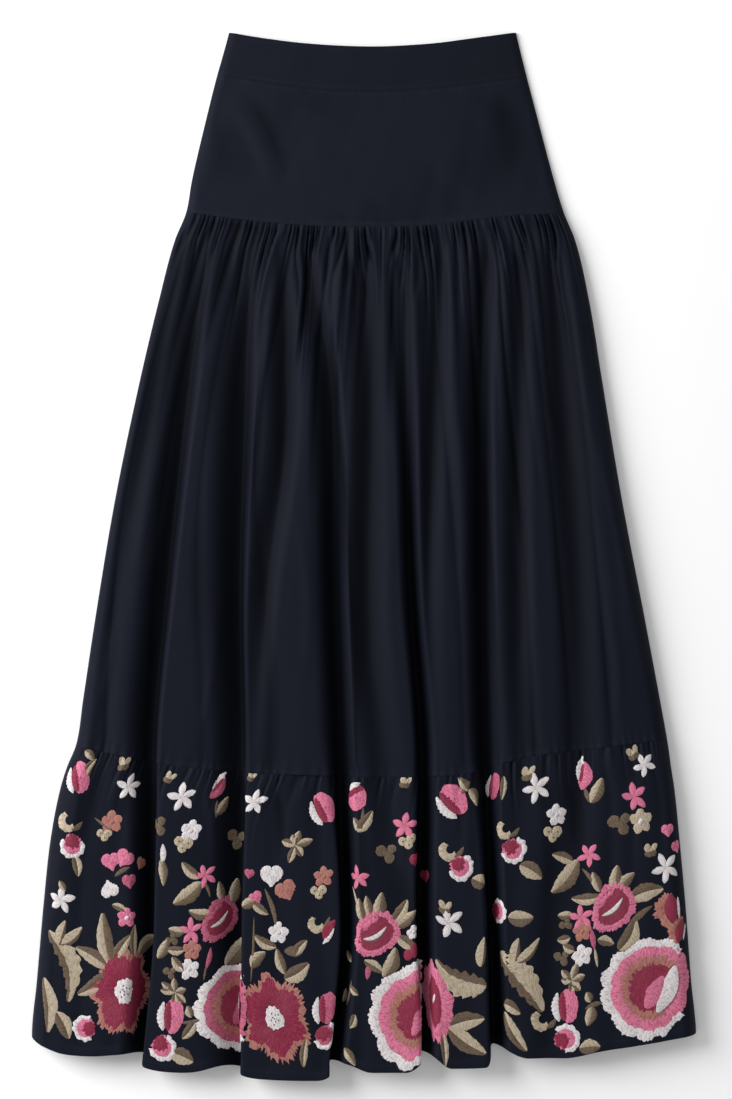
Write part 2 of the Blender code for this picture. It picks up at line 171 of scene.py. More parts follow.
def frontForm(s, y, left, right, folded):
    # x runs evenly between the two sides. z is the ridge height times an elliptic turn at each side,
    # cut down to the valley floor by one bell for each fold; x then leans by a share of z, so that
    # one panel can lie over the next without the cloth crossing itself
    flatX = left + s * (right - left)
    inset = np.minimum(flatX - left, right - flatX) / readDown(laid["sideTurn"], 1, y)
    side = np.sqrt(np.clip(1 - (1 - np.minimum(inset, 1)) ** 2, 0, 1))
    middle = 1 - (2 * s - 1) ** 2
    ridge = readDown(laid["heights"], 1, y) * (1 - middle) + readDown(laid["heights"], 2, y) * middle
    if not folded:
        return flatX, ridge * side, np.ones_like(ridge)
    below = seamY(laid["yokeSeam"], s) - y
    starts = ease(below / folds["starts"])
    toHem = ease((seamY(laid["tierSeam"], s) + folds["wallChange"][0] - y) / folds["wallChange"][1])
    leanShare = atLevels(folds["leanShares"], y) * starts
    up, lean = np.ones_like(y), np.zeros_like(y)
    for row in folds["rows"]:
        fold = dict(zip(folds["columns"], row))
        away = flatX - atLevels(fold["x"], y)
        walls = [top + (hem - top) * toHem for top, hem in (fold["leftWall"], fold["rightWall"])]
        up = up * (1 - atLevels(fold["depth"], y) * starts * bell(away / np.where(away < 0, *walls)))
        lean = lean + fold["lean"] * leanShare * bell((away - fold["leanPlace"]) / folds["leanReach"])
    waves = folds["waveHeight"] * np.cos(2 * np.pi * (folds["waves"] * s + 0.35 * np.sin(6 * np.pi * s)))
    waves = waves * starts * fade(below, folds["waveFade"], 2)
    floor = readDown(laid["heights"], 3, y)
    z = (floor + (ridge - floor) * up * (1 + waves)) * side
    return flatX + lean * z, z, up


def softNoise(seed, shape, *axes):
    # a sum of six cosines of random direction and phase over the given axes; shape gives how many waves
    # there are along each axis
    rng = np.random.default_rng(seed)
    total = 0.0
    for k in range(6):
        phase = rng.uniform(0, 2 * np.pi)
        for waves, axis in zip(shape, axes):
            phase = phase + 2 * np.pi * waves * rng.uniform(0.35, 1.0) * rng.choice((-1, 1)) * axis
        total = total + np.cos(phase) / (1 + 0.35 * k)
    return total / 2.6


def gatherPhase(count, s):
    # count times s with a slow unevenness of three sines, so that no two gathers are quite as wide
    phase = count * s
    for share, waves, start in ((0.45, 3, 0.6), (0.28, 8, 2.0), (0.2, 17, 1.1)):
        phase = phase + share * (np.sin(2 * np.pi * waves * s + start) - math.sin(start))
    return phase


def pleatWave(phase):
    # the absolute value of a cosine: round crests with sharp valleys between them, from -1 to 1. The
    # phase leans by its own cosine, so that one side of a crest is steeper
    return 2 * abs(np.cos((phase + 0.75 * np.cos(phase)) / 2)) - 1


def gatherHeight(gathers, s, down):
    # crests of gathered cloth that rise out of the stitches, drift sideways and fade, each at its own
    # length and height, with second and third waves that fade sooner
    count, seed, atSeam = gathers["count"], gathers["seed"], gathers["atSeam"]
    drift = gathers["drift"] * softNoise(seed + 90, (count / 5,), s) * ease(down / 70)
    phase = 2 * np.pi * gatherPhase(count, s) + drift
    length = gathers["length"] * (1 + gathers["uneven"] * softNoise(seed, (count / 2,), s))
    strength = np.maximum(1 + gathers["unlike"] * softNoise(seed + 50, (count / 2.5,), s), 0.1)
    rise = atSeam + (gathers["crest"] - atSeam) * ease(down / gathers["crestPlace"])
    fine = 0.3 * np.cos(2 * phase + 0.8) + gathers["fine"] * np.cos(3 * phase + 2.1)
    wave = pleatWave(phase) + fine * fade(down, 0.35 * length)
    return rise * fade(down, length) * wave * strength


def creaseHeight(creases, x, y):
    # each crease is a ridge (or a trough, if its height is below 0) along a line from one point to
    # another that bows by a sine: a bell across it whose height swells and dies along it
    total = np.zeros_like(x)
    for x0, y0, x1, y1, width, height in creases:
        dx, dy = x1 - x0, y1 - y0
        length = math.hypot(dx, dy)
        along = ((x - x0) * dx + (y - y0) * dy) / length**2
        bow = 0.06 * length * np.sin(np.pi * np.clip(along, 0, 1))
        across = ((x - x0) * dy - (y - y0) * dx) / length + bow
        total += height * fade(across, width, 2) * ease(along / 0.3) * ease((1 - along) / 0.45)
    return total


drape = {
    "wall": 0.7,  # what shows of one layer's thickness
    "yokeGathers": {
        "count": 38, "crest": 2.1, "atSeam": 0.9, "crestPlace": 8, "length": 56, "uneven": 0.75,
        "unlike": 0.95, "drift": 6.5, "fine": 0.1, "seed": 3,
    },
    "yokeFineGathers": {
        "count": 76, "crest": 0.4, "atSeam": 0.35, "crestPlace": 3, "length": 14, "uneven": 0.8,
        "unlike": 0.8, "drift": 3.0, "fine": 0.0, "seed": 5,
    },
    "tierGathers": {
        "count": 50, "crest": 1.2, "atSeam": 0.6, "crestPlace": 5, "length": 24, "uneven": 0.7,
        "unlike": 0.7, "drift": 3.5, "fine": 0.25, "seed": 8,
    },
    "tierFineGathers": {
        "count": 118, "crest": 0.42, "atSeam": 0.34, "crestPlace": 3, "length": 9, "uneven": 0.7,
        "unlike": 0.8, "drift": 3.0, "fine": 0.0, "seed": 11,
    },
    "puckerCount": 64, "puckerHeight": 0.4, "puckerLength": 9,  # above the tier seam
    "midWaves": 17, "midWaveHeight": 1.3, "midWaveFade": 150,
    "longFolds": 11, "longFoldHeight": 0.9,
    "hemWaves": 19, "hemWaveHeight": 0.55,
    "seamRidge": 0.35, "seamRidgeReach": 6,  # the seam allowance pressed up behind each seam
    "pull": 0.12,  # small pulls at the seams of the band and the yoke
    "bandEdge": 0.3, "bandUneven": 0.5, "yokeUneven": 0.55, "yokeFineUneven": 0.16,
    "middleUneven": 0.3, "hemUneven": 0.45,
    "hemRidge": 0.45, "hemDepth": 9, "hemStitch": 0.15,  # the doubled hem and its sewn line
    "inValley": 0.35,  # how much of all this is left in the bottom of a fold
    "sideShare": 0.03,  # of the width, over which it sinks to the side seams
    "sideColumns": (6, 0.008),  # how much closer the columns lie there, as (weight, reach)
    "gatherTroughShade": 0.6,  # how much a trough 1 mm deep adds to the mask of shade painted in the folds
}


def spread(fine, weight, count):
    # places at equal steps of the running sum of a weight, so closer together where it is large
    reached = np.concatenate([[0], np.cumsum(weight[1:])])
    return np.interp(np.linspace(0, reached[-1], count), reached, fine)


def placeRows(depth, count, ends):
    # distances down a panel. The weight is 1 plus, at each end, one that fades as exp(-distance / reach)
    (top, topReach), (lower, lowerReach) = ends
    fine = np.linspace(0, depth, 2001)
    weight = 1 + top * np.exp(-fine / topReach) + lower * np.exp((fine - depth) / lowerReach)
    return spread(fine, weight, count)


def placeColumns(count):
    # shares across, in the same way, closer together where the two sides turn down
    weight, reach = drape["sideColumns"]
    fine = np.linspace(0, 1, 4001)
    return spread(fine, 1 + weight * np.exp(-np.minimum(fine, 1 - fine) / reach), count)


def seamRidge(fromEdge):
    # a rise of the cloth that swells over the seam allowance above a panel's lower seam
    return drape["seamRidge"] * fade(fromEdge, drape["seamRidgeReach"], 4)


def bandDetail(s, down, depth, x, y):
    # two layers: rounded at both edges, pressed unevenly, with small pulls over the lower seam
    fromEdge = depth - down
    edge = drape["bandEdge"] * ease(np.minimum(down, fromEdge) / 1.2)
    pulls = drape["pull"] * softNoise(22, (40,), s) * np.exp(-fromEdge / 7)
    return edge + drape["bandUneven"] * softNoise(21, (6, 1), s, down / depth) + pulls


def yokeDetail(s, down, depth, x, y):
    # almost smooth: a slow unevenness, pulls at both seams, the seam allowance over the gathers, and the
    # listed creases
    fromEdge, share = depth - down, down / depth
    slow = drape["yokeUneven"] * softNoise(31, (3, 1.2), s, share)
    slow = slow + drape["yokeFineUneven"] * softNoise(32, (14, 3), s, share)
    pulls = np.cos(2 * np.pi * gatherPhase(drape["yokeGathers"]["count"], s)) * fade(fromEdge, 9)
    pulls = pulls + softNoise(33, (34,), s) * np.exp(-down / 8)
    return slow + drape["pull"] * pulls + seamRidge(fromEdge) + creaseHeight(yokeCreases, x, y)


def middleDetail(s, down, depth, x, y):
    # gathers under the yoke, waves that fade down the tier, long folds that drift to the side, puckers
    # over the tier seam, and the listed creases
    fromEdge, share = depth - down, down / depth
    gathers = gatherHeight(drape["yokeGathers"], s, down) + gatherHeight(drape["yokeFineGathers"], s, down)
    phase = drape["midWaves"] * s + 0.35 * np.sin(2 * np.pi * 2.3 * s + 0.8) + 0.25 * np.sin(down / 110)
    waves = pleatWave(2 * np.pi * phase) + 0.35 * np.cos(4 * np.pi * phase + 1.0)
    waves = drape["midWaveHeight"] * waves * ease(down / 35) * fade(down, drape["midWaveFade"])
    phase = drape["longFolds"] * s + 0.5 * np.sin(2 * np.pi * 1.3 * s) + 0.3 * np.sin(down / 160 + 4 * s)
    longFolds = drape["longFoldHeight"] * pleatWave(2 * np.pi * phase) * ease(down / 130)
    longFolds = longFolds * (1 + 0.4 * softNoise(41, (4, 1.5), s, share))
    puckers = np.cos(2 * np.pi * gatherPhase(drape["puckerCount"], s)) * fade(fromEdge, drape["puckerLength"])
    slow = drape["middleUneven"] * softNoise(42, (9, 3), s, share) + seamRidge(fromEdge)
    return gathers + waves + longFolds + drape["puckerHeight"] * puckers + slow + creaseHeight(creases, x, y)


def hemDetail(s, down, depth, x, y):
    # gathers under the tier seam, soft waves that lessen towards the hem, the doubled hem and its sewn
    # line, and the listed creases
    gathers = gatherHeight(drape["tierGathers"], s, down) + gatherHeight(drape["tierFineGathers"], s, down)
    phase = drape["hemWaves"] * s + 0.4 * np.sin(2 * np.pi * 2.1 * s + 0.3) + 0.2 * np.sin(down / 70 + 5 * s)
    waves = np.cos(2 * np.pi * phase) * ease(down / 30) * (1 - 0.35 * ease(down / 200))
    waves = drape["hemWaveHeight"] * waves
    slow = drape["hemUneven"] * softNoise(51, (7, 1.5), s, down / depth)
    fromEdge = depth - down
    overHem = fromEdge - drape["hemDepth"]
    hem = drape["hemRidge"] * (1 - ease((overHem + 0.8) / 1.6)) * ease(fromEdge / 1.2 + 0.3)
    sewn = drape["hemStitch"] * fade(overHem + 2, 0.8, 2)
    return gathers + waves + slow + hem - sewn + creaseHeight(creases, x, y)


# Creases listed for the front: from (x0, y0) to (x1, y1), half width, height (below 0 a trough)
yokeCreases = (
    (-138, 465, -84, 350, 8, 1.3), (-122, 466, -70, 352, 9, -0.9), (-152, 436, -166, 350, 7, 0.9),
    (-60, 452, -40, 360, 14, 0.5),
    (128, 468, 150, 366, 15, -0.8), (70, 455, 78, 352, 16, 0.5),
)
creases = (
    (-150, 318, -176, 205, 4.5, 1.6), (-120, 322, -136, 232, 4, -1.4), (-88, 318, -104, 214, 4.5, 1.5),
    (-64, 322, -60, 226, 3.5, -1.3), (-36, 318, -58, 196, 5, 1.5), (-14, 320, -20, 240, 3.5, 1.2),
    (22, 320, 34, 214, 4, 1.5), (52, 318, 44, 236, 3.5, -1.3), (84, 322, 96, 208, 4.5, 1.6),
    (112, 322, 108, 244, 3.5, 1.2), (146, 326, 166, 214, 4.5, 1.5), (176, 330, 200, 226, 4, 1.3),
    (-186, 160, -232, -60, 6, 1.3), (-92, 150, -106, -40, 6, 1.1), (20, 170, 26, -30, 6, 1.0),
    (88, 160, 92, -60, 6, 1.2), (176, 170, 206, -40, 6, 1.2), (220, 140, 262, -120, 6, 1.1),
    (-10, 60, -2, -150, 6, -0.9), (140, 40, 146, -150, 6, -0.8), (-70, 60, -66, -160, 6, 0.9),
    (-250, -60, -276, -176, 5, 1.0), (-150, -40, -168, -190, 5, 0.9), (240, -40, 250, -180, 5, 0.9),
    (-284, -215, -300, -300, 5, 1.0), (-160, -225, -150, -330, 5, 0.9), (-88, -228, -84, -310, 4.5, -0.8),
    (30, -232, 34, -330, 5, 0.9), (100, -225, 96, -320, 5, 0.9), (200, -210, 206, -310, 5, -0.8),
    (262, -205, 270, -330, 5, 1.0),
)

# Cloth panels. A seam is (x, y) points of laid, depth runs from the top seam to the lower edge, grid is
# the mesh's columns and rows, and ends is how much closer the rows lie at the top and at the lower
# edge, as (weight, reach)

panels = {
    "waistband": {
        "top": "waistLine", "lower": "bandSeam", "depth": 44, "folded": False, "detail": bandDetail,
        "grid": (150, 26), "ends": ((3, 4), (3, 4)),
    },
    "yoke": {
        "top": "bandSeam", "lower": "yokeSeam", "depth": 135, "folded": False, "detail": yokeDetail,
        "grid": (170, 62), "ends": ((4, 4), (4, 6)),
    },
    "middleTier": {
        "top": "yokeSeam", "lower": "tierSeam", "depth": 540, "folded": True, "detail": middleDetail,
        "grid": (520, 94), "ends": ((3, 40), (2, 12)),
    },
    "hemTier": {
        "top": "tierSeam", "lower": "hemLine", "depth": 285, "folded": True, "detail": hemDetail,
        "grid": (620, 78), "ends": ((1.6, 25), (3, 6)),
    },
}


def frontSheet(name):
    # the outer surface of a front panel on its grid: the laid form, moved out along the normal of its
    # section by the panel's detail. The inner surface lies one wall under it. The mask of painted
    # shade is 0 on the ridges and 1 in the bottom of a fold, and rises in the troughs of the detail
    panel = panels[name]
    s = placeColumns(panel["grid"][0])
    down = placeRows(panel["depth"], panel["grid"][1], panel["ends"])
    y, left, right = panelPlace(panel, s, down)
    x, z, up = frontForm(s, y, left, right, panel["folded"])
    alongX, alongZ = np.gradient(x, axis=1), np.gradient(z, axis=1)
    length = np.hypot(alongX, alongZ)
    normalX, normalZ = -alongZ / length, alongX / length
    normalX[:, 0], normalX[:, -1], normalZ[:, [0, -1]] = -1, 1, 0
    s, down = np.broadcast_arrays(s[None, :], down[:, None])
    height = panel["detail"](s, down, panel["depth"], x, y)
    shown = drape["inValley"] + (1 - drape["inValley"]) * up
    height = height * ease(np.minimum(s, 1 - s) / drape["sideShare"]) * shown
    outer = np.stack([x + normalX * height, y, z + normalZ * height], 2)
    inner = outer - drape["wall"] * np.stack([normalX, np.zeros_like(x), normalZ], 2)
    outer[..., 2], inner[..., 2] = np.maximum(outer[..., 2], 0), np.maximum(inner[..., 2], 0)
    # where the cloth's colour is painted darker: painted shade in the folds and troughs
    paintedShadeMask = np.clip(1 - up + drape["gatherTroughShade"] * np.clip(-height, 0, 2), 0, 1)
    return outer, inner, down, paintedShadeMask


backs = {
    "wall": 0.8,
    "lift": 0.5,  # the underside stands this far over the floor, to leave room for thread
    "clear": 1.9,  # between the front's outline and the back's edge
    "ridges": 9, "ridgeHeight": 5.0, "ridgeStarts": 80, "gatherHeight": 1.6,
    "ridgeEnds": 35,  # over the tier seam, so that the two tiers meet on the underside
    "roomReach": 11, "roomShare": 0.45,
    "roomKept": 3.7,  # both walls and the air between them
    "grid": {"waistband": (60, 8), "yoke": (70, 14), "middleTier": (250, 58), "hemTier": (300, 50)},
    "ends": ((1.5, 20), (1, 8)), "ridgeSide": 0.04, "liftSide": 0.02,  # shares of the width
}


def roomUnderFront(x, y, left, right):
    # how high the back may rise: the lowest point of the front within reach of it, less the cloth
    fine = np.linspace(0, 1, 901)
    room = np.zeros_like(x)
    for k in range(len(x)):
        rowY = np.interp(fine, np.linspace(0, 1, x.shape[1]), y[k])[None, :]
        overX, overZ, _ = frontForm(fine, rowY, left[k:k + 1], right[k:k + 1], True)
        near = abs(overX - x[k][:, None]) < backs["roomReach"]
        room[k] = np.where(near, overZ, np.inf).min(1)
    return np.maximum(room - backs["roomKept"], 0)


def backSheet(name):
    # the back panel: flat on the surface, rising where the front leaves it room, by ridges that are
    # the square of a cosine and by the gathers' crests
    panel = dict(panels[name])
    if name == "hemTier":
        panel["lower"] = "backHemLine"
    columns, rows = backs["grid"][name]
    s, down = np.linspace(0, 1, columns), placeRows(panel["depth"], rows, backs["ends"])
    y, left, right = panelPlace(panel, s, down)
    x = left + backs["clear"] + s * (right - left - 2 * backs["clear"])
    s, down = np.broadcast_arrays(s[None, :], down[:, None])
    fromSide = np.minimum(s, 1 - s)
    z = np.zeros_like(x)
    if panel["folded"]:
        gathers = drape["yokeGathers"] if name == "middleTier" else drape["tierGathers"]
        ridges = np.cos(2 * np.pi * (backs["ridges"] * s + 0.3 * np.sin(6 * np.pi * s)))
        ridges = backs["ridgeHeight"] * np.clip(ridges, 0, 1) ** 2 * ease(down / backs["ridgeStarts"])
        if name == "middleTier":
            ridges = ridges * ease((panel["depth"] - down) / backs["ridgeEnds"])
        crests = np.clip(gatherHeight(gathers, s, down) / gathers["crest"], 0, 1) * backs["gatherHeight"]
        room = backs["roomShare"] * roomUnderFront(x, y, left, right)
        z = np.minimum(ridges + crests, room) * ease(fromSide / backs["ridgeSide"])
    z = z + backs["lift"] * ease(fromSide / backs["liftSide"])
    under = np.stack([x, y, z], 2)
    return under + (0, 0, backs["wall"]), under, down, np.zeros_like(z)


def quads(a, b, c, d):
    # four arrays of point numbers, as rows of four
    return np.stack([np.ravel(k) for k in (a, b, c, d)], 1)


def gridQuads(grid):
    # a quad between each four neighbours on a grid of point numbers
    return quads(grid[:-1, :-1], grid[1:, :-1], grid[1:, 1:], grid[:-1, 1:])


def shellFaces(rows, columns):
    # quads of a closed wall: the outer grid, the inner grid turned over, and the four rims
    outer = np.arange(rows * columns).reshape(rows, columns)
    inner = outer + rows * columns

    def rim(outerLine, innerLine):
        return quads(outerLine[:-1], outerLine[1:], innerLine[1:], innerLine[:-1])

    return np.concatenate([
        gridQuads(outer), gridQuads(inner)[:, ::-1],
        rim(outer[0], inner[0]), rim(outer[-1, ::-1], inner[-1, ::-1]),
        rim(outer[::-1, 0], inner[::-1, 0]), rim(outer[:, -1], inner[:, -1]),
    ])


def acrossCloth(surface):
    # the cloth's own coordinate across: the length along each row, measured from its middle column
    steps = np.linalg.norm(np.diff(surface, axis=1), axis=2)
    across = np.concatenate([np.zeros((len(surface), 1)), np.cumsum(steps, axis=1)], 1)
    return across - across[:, [surface.shape[1] // 2]]


def makeMesh(name, points, faces, uv, material, slot):
    # a mesh in metres that carries the cloth's own coordinates, smooth but at its edges
    mesh = bpy.data.meshes.new(name)
    mesh.from_pydata(points * mm, [], faces)
    layer = mesh.uv_layers.new(name="cloth")
    corners = np.empty(len(mesh.loops), np.int32)
    mesh.loops.foreach_get("vertex_index", corners)
    layer.data.foreach_set("uv", uv[corners].astype(np.float32).ravel())
    mesh.materials.append(material)
    mesh.shade_smooth()
    mesh.set_sharp_from_angle(angle=math.radians(70))
    made = bpy.data.objects.new(name, mesh)
    bpy.context.scene.collection.objects.link(made)
    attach(made, "root")
    return made


def addSheet(name, sheet, material, slot, nodes, cut, held, restsOn):
    # a closed wall of cloth with its mask of painted shade and its nodes, which it hides. The cut is not used
    outer, inner, down, paintedShadeMask = sheet
    points = np.concatenate([outer.reshape(-1, 3), inner.reshape(-1, 3)])
    uv = np.stack([acrossCloth(outer), -down], 2).reshape(-1, 2)
    made = makeMesh(name, points, shellFaces(*down.shape), np.tile(uv, (2, 1)), material, slot)
    # the mask of painted shade, kept on the mesh for the cloth's material
    shade = made.data.attributes.new("paintedShadeMask", "FLOAT", "POINT")
    shade.data.foreach_set("value", np.tile(paintedShadeMask.ravel(), 2).astype(np.float32))
    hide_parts(*nodes)
    return made


# Materials

poplin = {
    "colour": (0.0078, 0.0092, 0.0158), "bandColour": (0.0073, 0.0084, 0.0141),
    # the same poplin as the yoke, darker on the two tiers: painted shade of their folds
    "shadedTierColour": (0.0069, 0.0082, 0.0146),
    "paintedFoldShade": 0.72,  # how much darker the cloth's colour is painted in the bottom of a fold: painted shade
    "roughness": 0.62, "specular": 0.04, "bump": 0.3, "bumpDepth": 0.05,
    "weave": {"Pitch": 0.42, "Slub": 0.16, "Cloudiness": 0.12},  # the pitch is in mm
    "stitchTurn": 2.4, "stitchWidth": 0.32, "stitchLight": 0.45, "stitchHeight": 5.0,  # the sewn lines
}


def feed(tree, node, inputs):
    # sets each input, by its name or number, to a value or links it to the socket given
    for name, value in inputs.items():
        if isinstance(value, bpy.types.NodeSocket):
            tree.links.new(value, node.inputs[name])
        else:
            node.inputs[name].default_value = value


def addNode(tree, kind, inputs, **settings):
    # a shader node with its settings made first, because they decide which inputs there are
    node = tree.nodes.new("ShaderNode" + kind)
    for name, setting in settings.items():
        setattr(node, name, setting)
    feed(tree, node, inputs)
    return node


def maths(tree, operation, *values):
    # one operation on numbers or sockets
    return addNode(tree, "Math", dict(enumerate(values)), operation=operation).outputs[0]


def noise(tree, vector, stretch, scale, detail=2.0):
    # noise on coordinates that are stretched first
    mapping = addNode(tree, "Mapping", {"Vector": vector, "Scale": (*stretch, 1)})
    values = {"Vector": mapping.outputs["Vector"], "Scale": scale, "Detail": detail}
    return addNode(tree, "TexNoise", values).outputs["Fac"]


def newGroup(name, vector, numbers, outputs):
    # a node group with an input for coordinates, inputs for numbers, and outputs that are numbers
    group = bpy.data.node_groups.new(name, "ShaderNodeTree")
    group.interface.new_socket(vector, in_out="INPUT", socket_type="NodeSocketVector")
    for label, value in numbers.items():
        socket = group.interface.new_socket(label, in_out="INPUT", socket_type="NodeSocketFloat")
        socket.default_value = value
    for label in outputs:
        group.interface.new_socket(label, in_out="OUTPUT", socket_type="NodeSocketFloat")
    return group, group.nodes.new("NodeGroupInput").outputs, group.nodes.new("NodeGroupOutput")


def weaveGroup():
    # plain weave: a sine across times a sine down, with a rib from the closer threads. Slub is noise
    # drawn out along the threads, and Shade is 1 with the slub and a slow cloudiness added
    outputs = ("Height", "Shade", "Roughness Change")
    group, start, end = newGroup("poplinWeave", "Cloth", poplin["weave"], outputs)
    place = addNode(group, "SeparateXYZ", {0: start["Cloth"]}).outputs
    turns = maths(group, "DIVIDE", math.pi, start["Pitch"])
    across = maths(group, "SINE", maths(group, "MULTIPLY", place["X"], turns))
    along = maths(group, "SINE", maths(group, "MULTIPLY", place["Y"], turns))
    rib = maths(group, "MULTIPLY", maths(group, "ABSOLUTE", along), 0.5)
    height = maths(group, "MULTIPLY_ADD", across, along, rib)
    warp, weft = [noise(group, start["Cloth"], stretch, 1.0) for stretch in ((1.6, 0.03), (0.03, 1.6))]
    threads = maths(group, "SUBTRACT", maths(group, "ADD", warp, weft), 1.0)
    clouds = maths(group, "SUBTRACT", noise(group, start["Cloth"], (1, 0.5), 0.02, 3.0), 0.5)
    shade = maths(group, "MULTIPLY_ADD", threads, start["Slub"], 1.0)
    feed(group, end, {
        "Height": maths(group, "MULTIPLY_ADD", threads, 0.6, height),
        "Shade": maths(group, "MULTIPLY_ADD", clouds, start["Cloudiness"], shade),
        "Roughness Change": maths(group, "MULTIPLY", threads, 0.12),
    })
    return group


def startMaterial(name, group, vector, numbers):
    # a material with a group that reads the piece's own coordinates
    material = bpy.data.materials.new(name)
    material.use_nodes = True
    tree = material.node_tree
    place = addNode(tree, "UVMap", {}, uv_map="cloth").outputs["UV"]
    return material, tree, place, addNode(tree, "Group", {vector: place, **numbers}, node_tree=group).outputs


def finishMaterial(tree, looks, colour, change, height):
    # feeds the Principled shader; roughness is the look's own plus a change, and the height is a bump
    depth = looks["bumpDepth"] * mm
    bump = addNode(tree, "Bump", {"Height": height, "Strength": looks["bump"], "Distance": depth})
    feed(tree, tree.nodes["Principled BSDF"], {
        "Base Color": colour, "Roughness": maths(tree, "ADD", change, looks["roughness"]),
        "Normal": bump.outputs["Normal"], "Specular IOR Level": looks["specular"],
    })


def clothMaterial(name, colour, stitchLines):
    # the weave, tinted by its shade, with painted shade that darkens it in the folds. stitchLines are
    # distances down the panel at which a row of stitches is sewn, one every 2.6 mm
    material, tree, cloth, weave = startMaterial(name, weaveTree, "Cloth", poplin["weave"])
    place = addNode(tree, "SeparateXYZ", {0: cloth}).outputs
    dash = maths(tree, "SINE", maths(tree, "MULTIPLY", place["X"], poplin["stitchTurn"]))
    dash = maths(tree, "GREATER_THAN", dash, -0.5)
    sewn = 0.0
    for line in stitchLines:
        onLine = maths(tree, "COMPARE", place["Y"], -line, poplin["stitchWidth"])
        sewn = maths(tree, "MAXIMUM", sewn, maths(tree, "MULTIPLY", onLine, dash))
    # painted shade: the cloth's colour is darkened where it lies in a fold or a trough
    paintedShadeMask = addNode(tree, "Attribute", {}, attribute_name="paintedShadeMask").outputs["Fac"]
    paintedShadeFactor = maths(tree, "MULTIPLY_ADD", paintedShadeMask, -poplin["paintedFoldShade"], 1.0)
    shade = maths(tree, "MULTIPLY", weave["Shade"], paintedShadeFactor)
    shade = maths(tree, "MULTIPLY_ADD", sewn, poplin["stitchLight"], shade)
    height = maths(tree, "MULTIPLY_ADD", sewn, poplin["stitchHeight"], weave["Height"])
    tint = addNode(tree, "VectorMath", {0: colour, "Scale": shade}, operation="SCALE").outputs[0]
    finishMaterial(tree, poplin, tint, weave["Roughness Change"], height)
    return material


weaveTree = weaveGroup()
bandPoplin = clothMaterial("navyWaistbandPoplin", poplin["bandColour"], (3.5, 40.5))
yokePoplin = clothMaterial("navyYokePoplin", poplin["colour"], (3.0, 132.0))
# the tiers take the darker poplin colour: painted shade
middlePoplin = clothMaterial("navyTierPoplin", poplin["shadedTierColour"], (537.0,))
hemPoplin = clothMaterial("navyHemPoplin", poplin["shadedTierColour"], (278.0,))
print("materials ready")

# Piece, material, slot, nodes that it stands for, the cut as (width, length) in metres, how it is held,
# and what it lies on
frontSheets = (
    ("waistband", bandPoplin, "waistband", ["waistband_front"], (0.325, 0.052), "laid", ["waistband_back"]),
    ("yoke", yokePoplin, "poplin", ["yoke_front"], (0.395, 0.140), "laid", ["yoke_back"]),
    (
        "middleTier", middlePoplin, "poplin", ["middle_tier_front"],
        (0.72, 0.545), "gathered", ["middle_tier_back"],
    ),
    (
        "hemTier", hemPoplin, "embroidered_poplin",
        ["hem_tier_front_left", "hem_tier_front_centre", "hem_tier_front_right"],
        (0.95, 0.300), "gathered", ["hem_tier_back"],
    ),
)
backSheets = (
    ("waistband", bandPoplin, "waistband", ["waistband_back"], (0.320, 0.052), "laid", ["floor"]),
    ("yoke", yokePoplin, "poplin", ["yoke_back"], (0.390, 0.140), "laid", ["floor"]),
    ("middleTier", middlePoplin, "poplin", ["middle_tier_back"], (0.64, 0.545), "gathered", ["floor"]),
    ("hemTier", hemPoplin, "embroidered_poplin", ["hem_tier_back"], (0.74, 0.300), "gathered", ["floor"]),
)
sewnSheets = {}
for side, table, laySheet in (("Front", frontSheets, frontSheet), ("Back", backSheets, backSheet)):
    for name, *rest in table:
        sewnSheets[name + side] = laySheet(name)
        addSheet(name + side, sewnSheets[name + side], *rest)
    print(side.lower(), "panels laid")

# Embroidery: satin-stitched patches of raised thread that lie on the hem tier's cloth

threads = {
    # base colour, and a second tone that some stitches take, and the grooves between threads more: painted
    # shade where it is the darker
    "white": ((0.67, 0.63, 0.63), (0.34, 0.30, 0.32)),
    "cream": ((0.44, 0.368, 0.272), (0.22, 0.17, 0.108)),
    "olive": ((0.130, 0.090, 0.058), (0.055, 0.037, 0.023)),
    "lightPink": ((0.60, 0.170, 0.270), (0.33, 0.05, 0.12)),
    "pink": ((0.42, 0.098, 0.162), (0.22, 0.03, 0.075)),
    "crimson": ((0.165, 0.009, 0.032), (0.26, 0.025, 0.062)),
    "salmon": ((0.35, 0.155, 0.12), (0.23, 0.06, 0.06)),
}
stitched = {colour: {"points": [], "faces": [], "uv": [], "count": 0} for colour in threads}
sewing = {
    "rowKey": 4000.0,  # separates the rows of a cloth map in one rising list
    "pinReach": 3.5,  # how near to its place the uppermost point for a motif is looked for
    "pressed": 0.6,  # thread this high is pressed to 0.63 of the room under the back
    "backRoom": 0.4, "backReach": 262,  # motifs further out would run off the back's side edges
}


def clothMap(surface, down, under, room):
    # a panel's surface with its own coordinates, and the normals that point out of it. room is how high
    # thread can stand on a side that is lain on
    normal = np.cross(np.gradient(surface, axis=0), np.gradient(surface, axis=1))
    normal /= np.linalg.norm(normal, axis=2, keepdims=True)
    across = acrossCloth(surface)
    keys = across + sewing["rowKey"] * np.arange(len(across))[:, None]
    return {
        "points": surface, "flat": surface.reshape(-1, 3), "under": under, "room": room,
        "normals": (-normal if under else normal).reshape(-1, 3),
        "across": across, "keys": keys.ravel(), "down": down[:, 0],
    }


def readCloth(cloth, row, across):
    # the point and the normal at a length across on whole rows, mixed from the two columns beside it
    columns = cloth["across"].shape[1]
    key = across + sewing["rowKey"] * row
    k = np.clip(np.searchsorted(cloth["keys"], key) - 1, row * columns, row * columns + columns - 2)
    share = np.clip((key - cloth["keys"][k]) / (cloth["keys"][k + 1] - cloth["keys"][k]), 0, 1)[..., None]
    return [cloth[name][k] * (1 - share) + cloth[name][k + 1] * share for name in ("flat", "normals")]


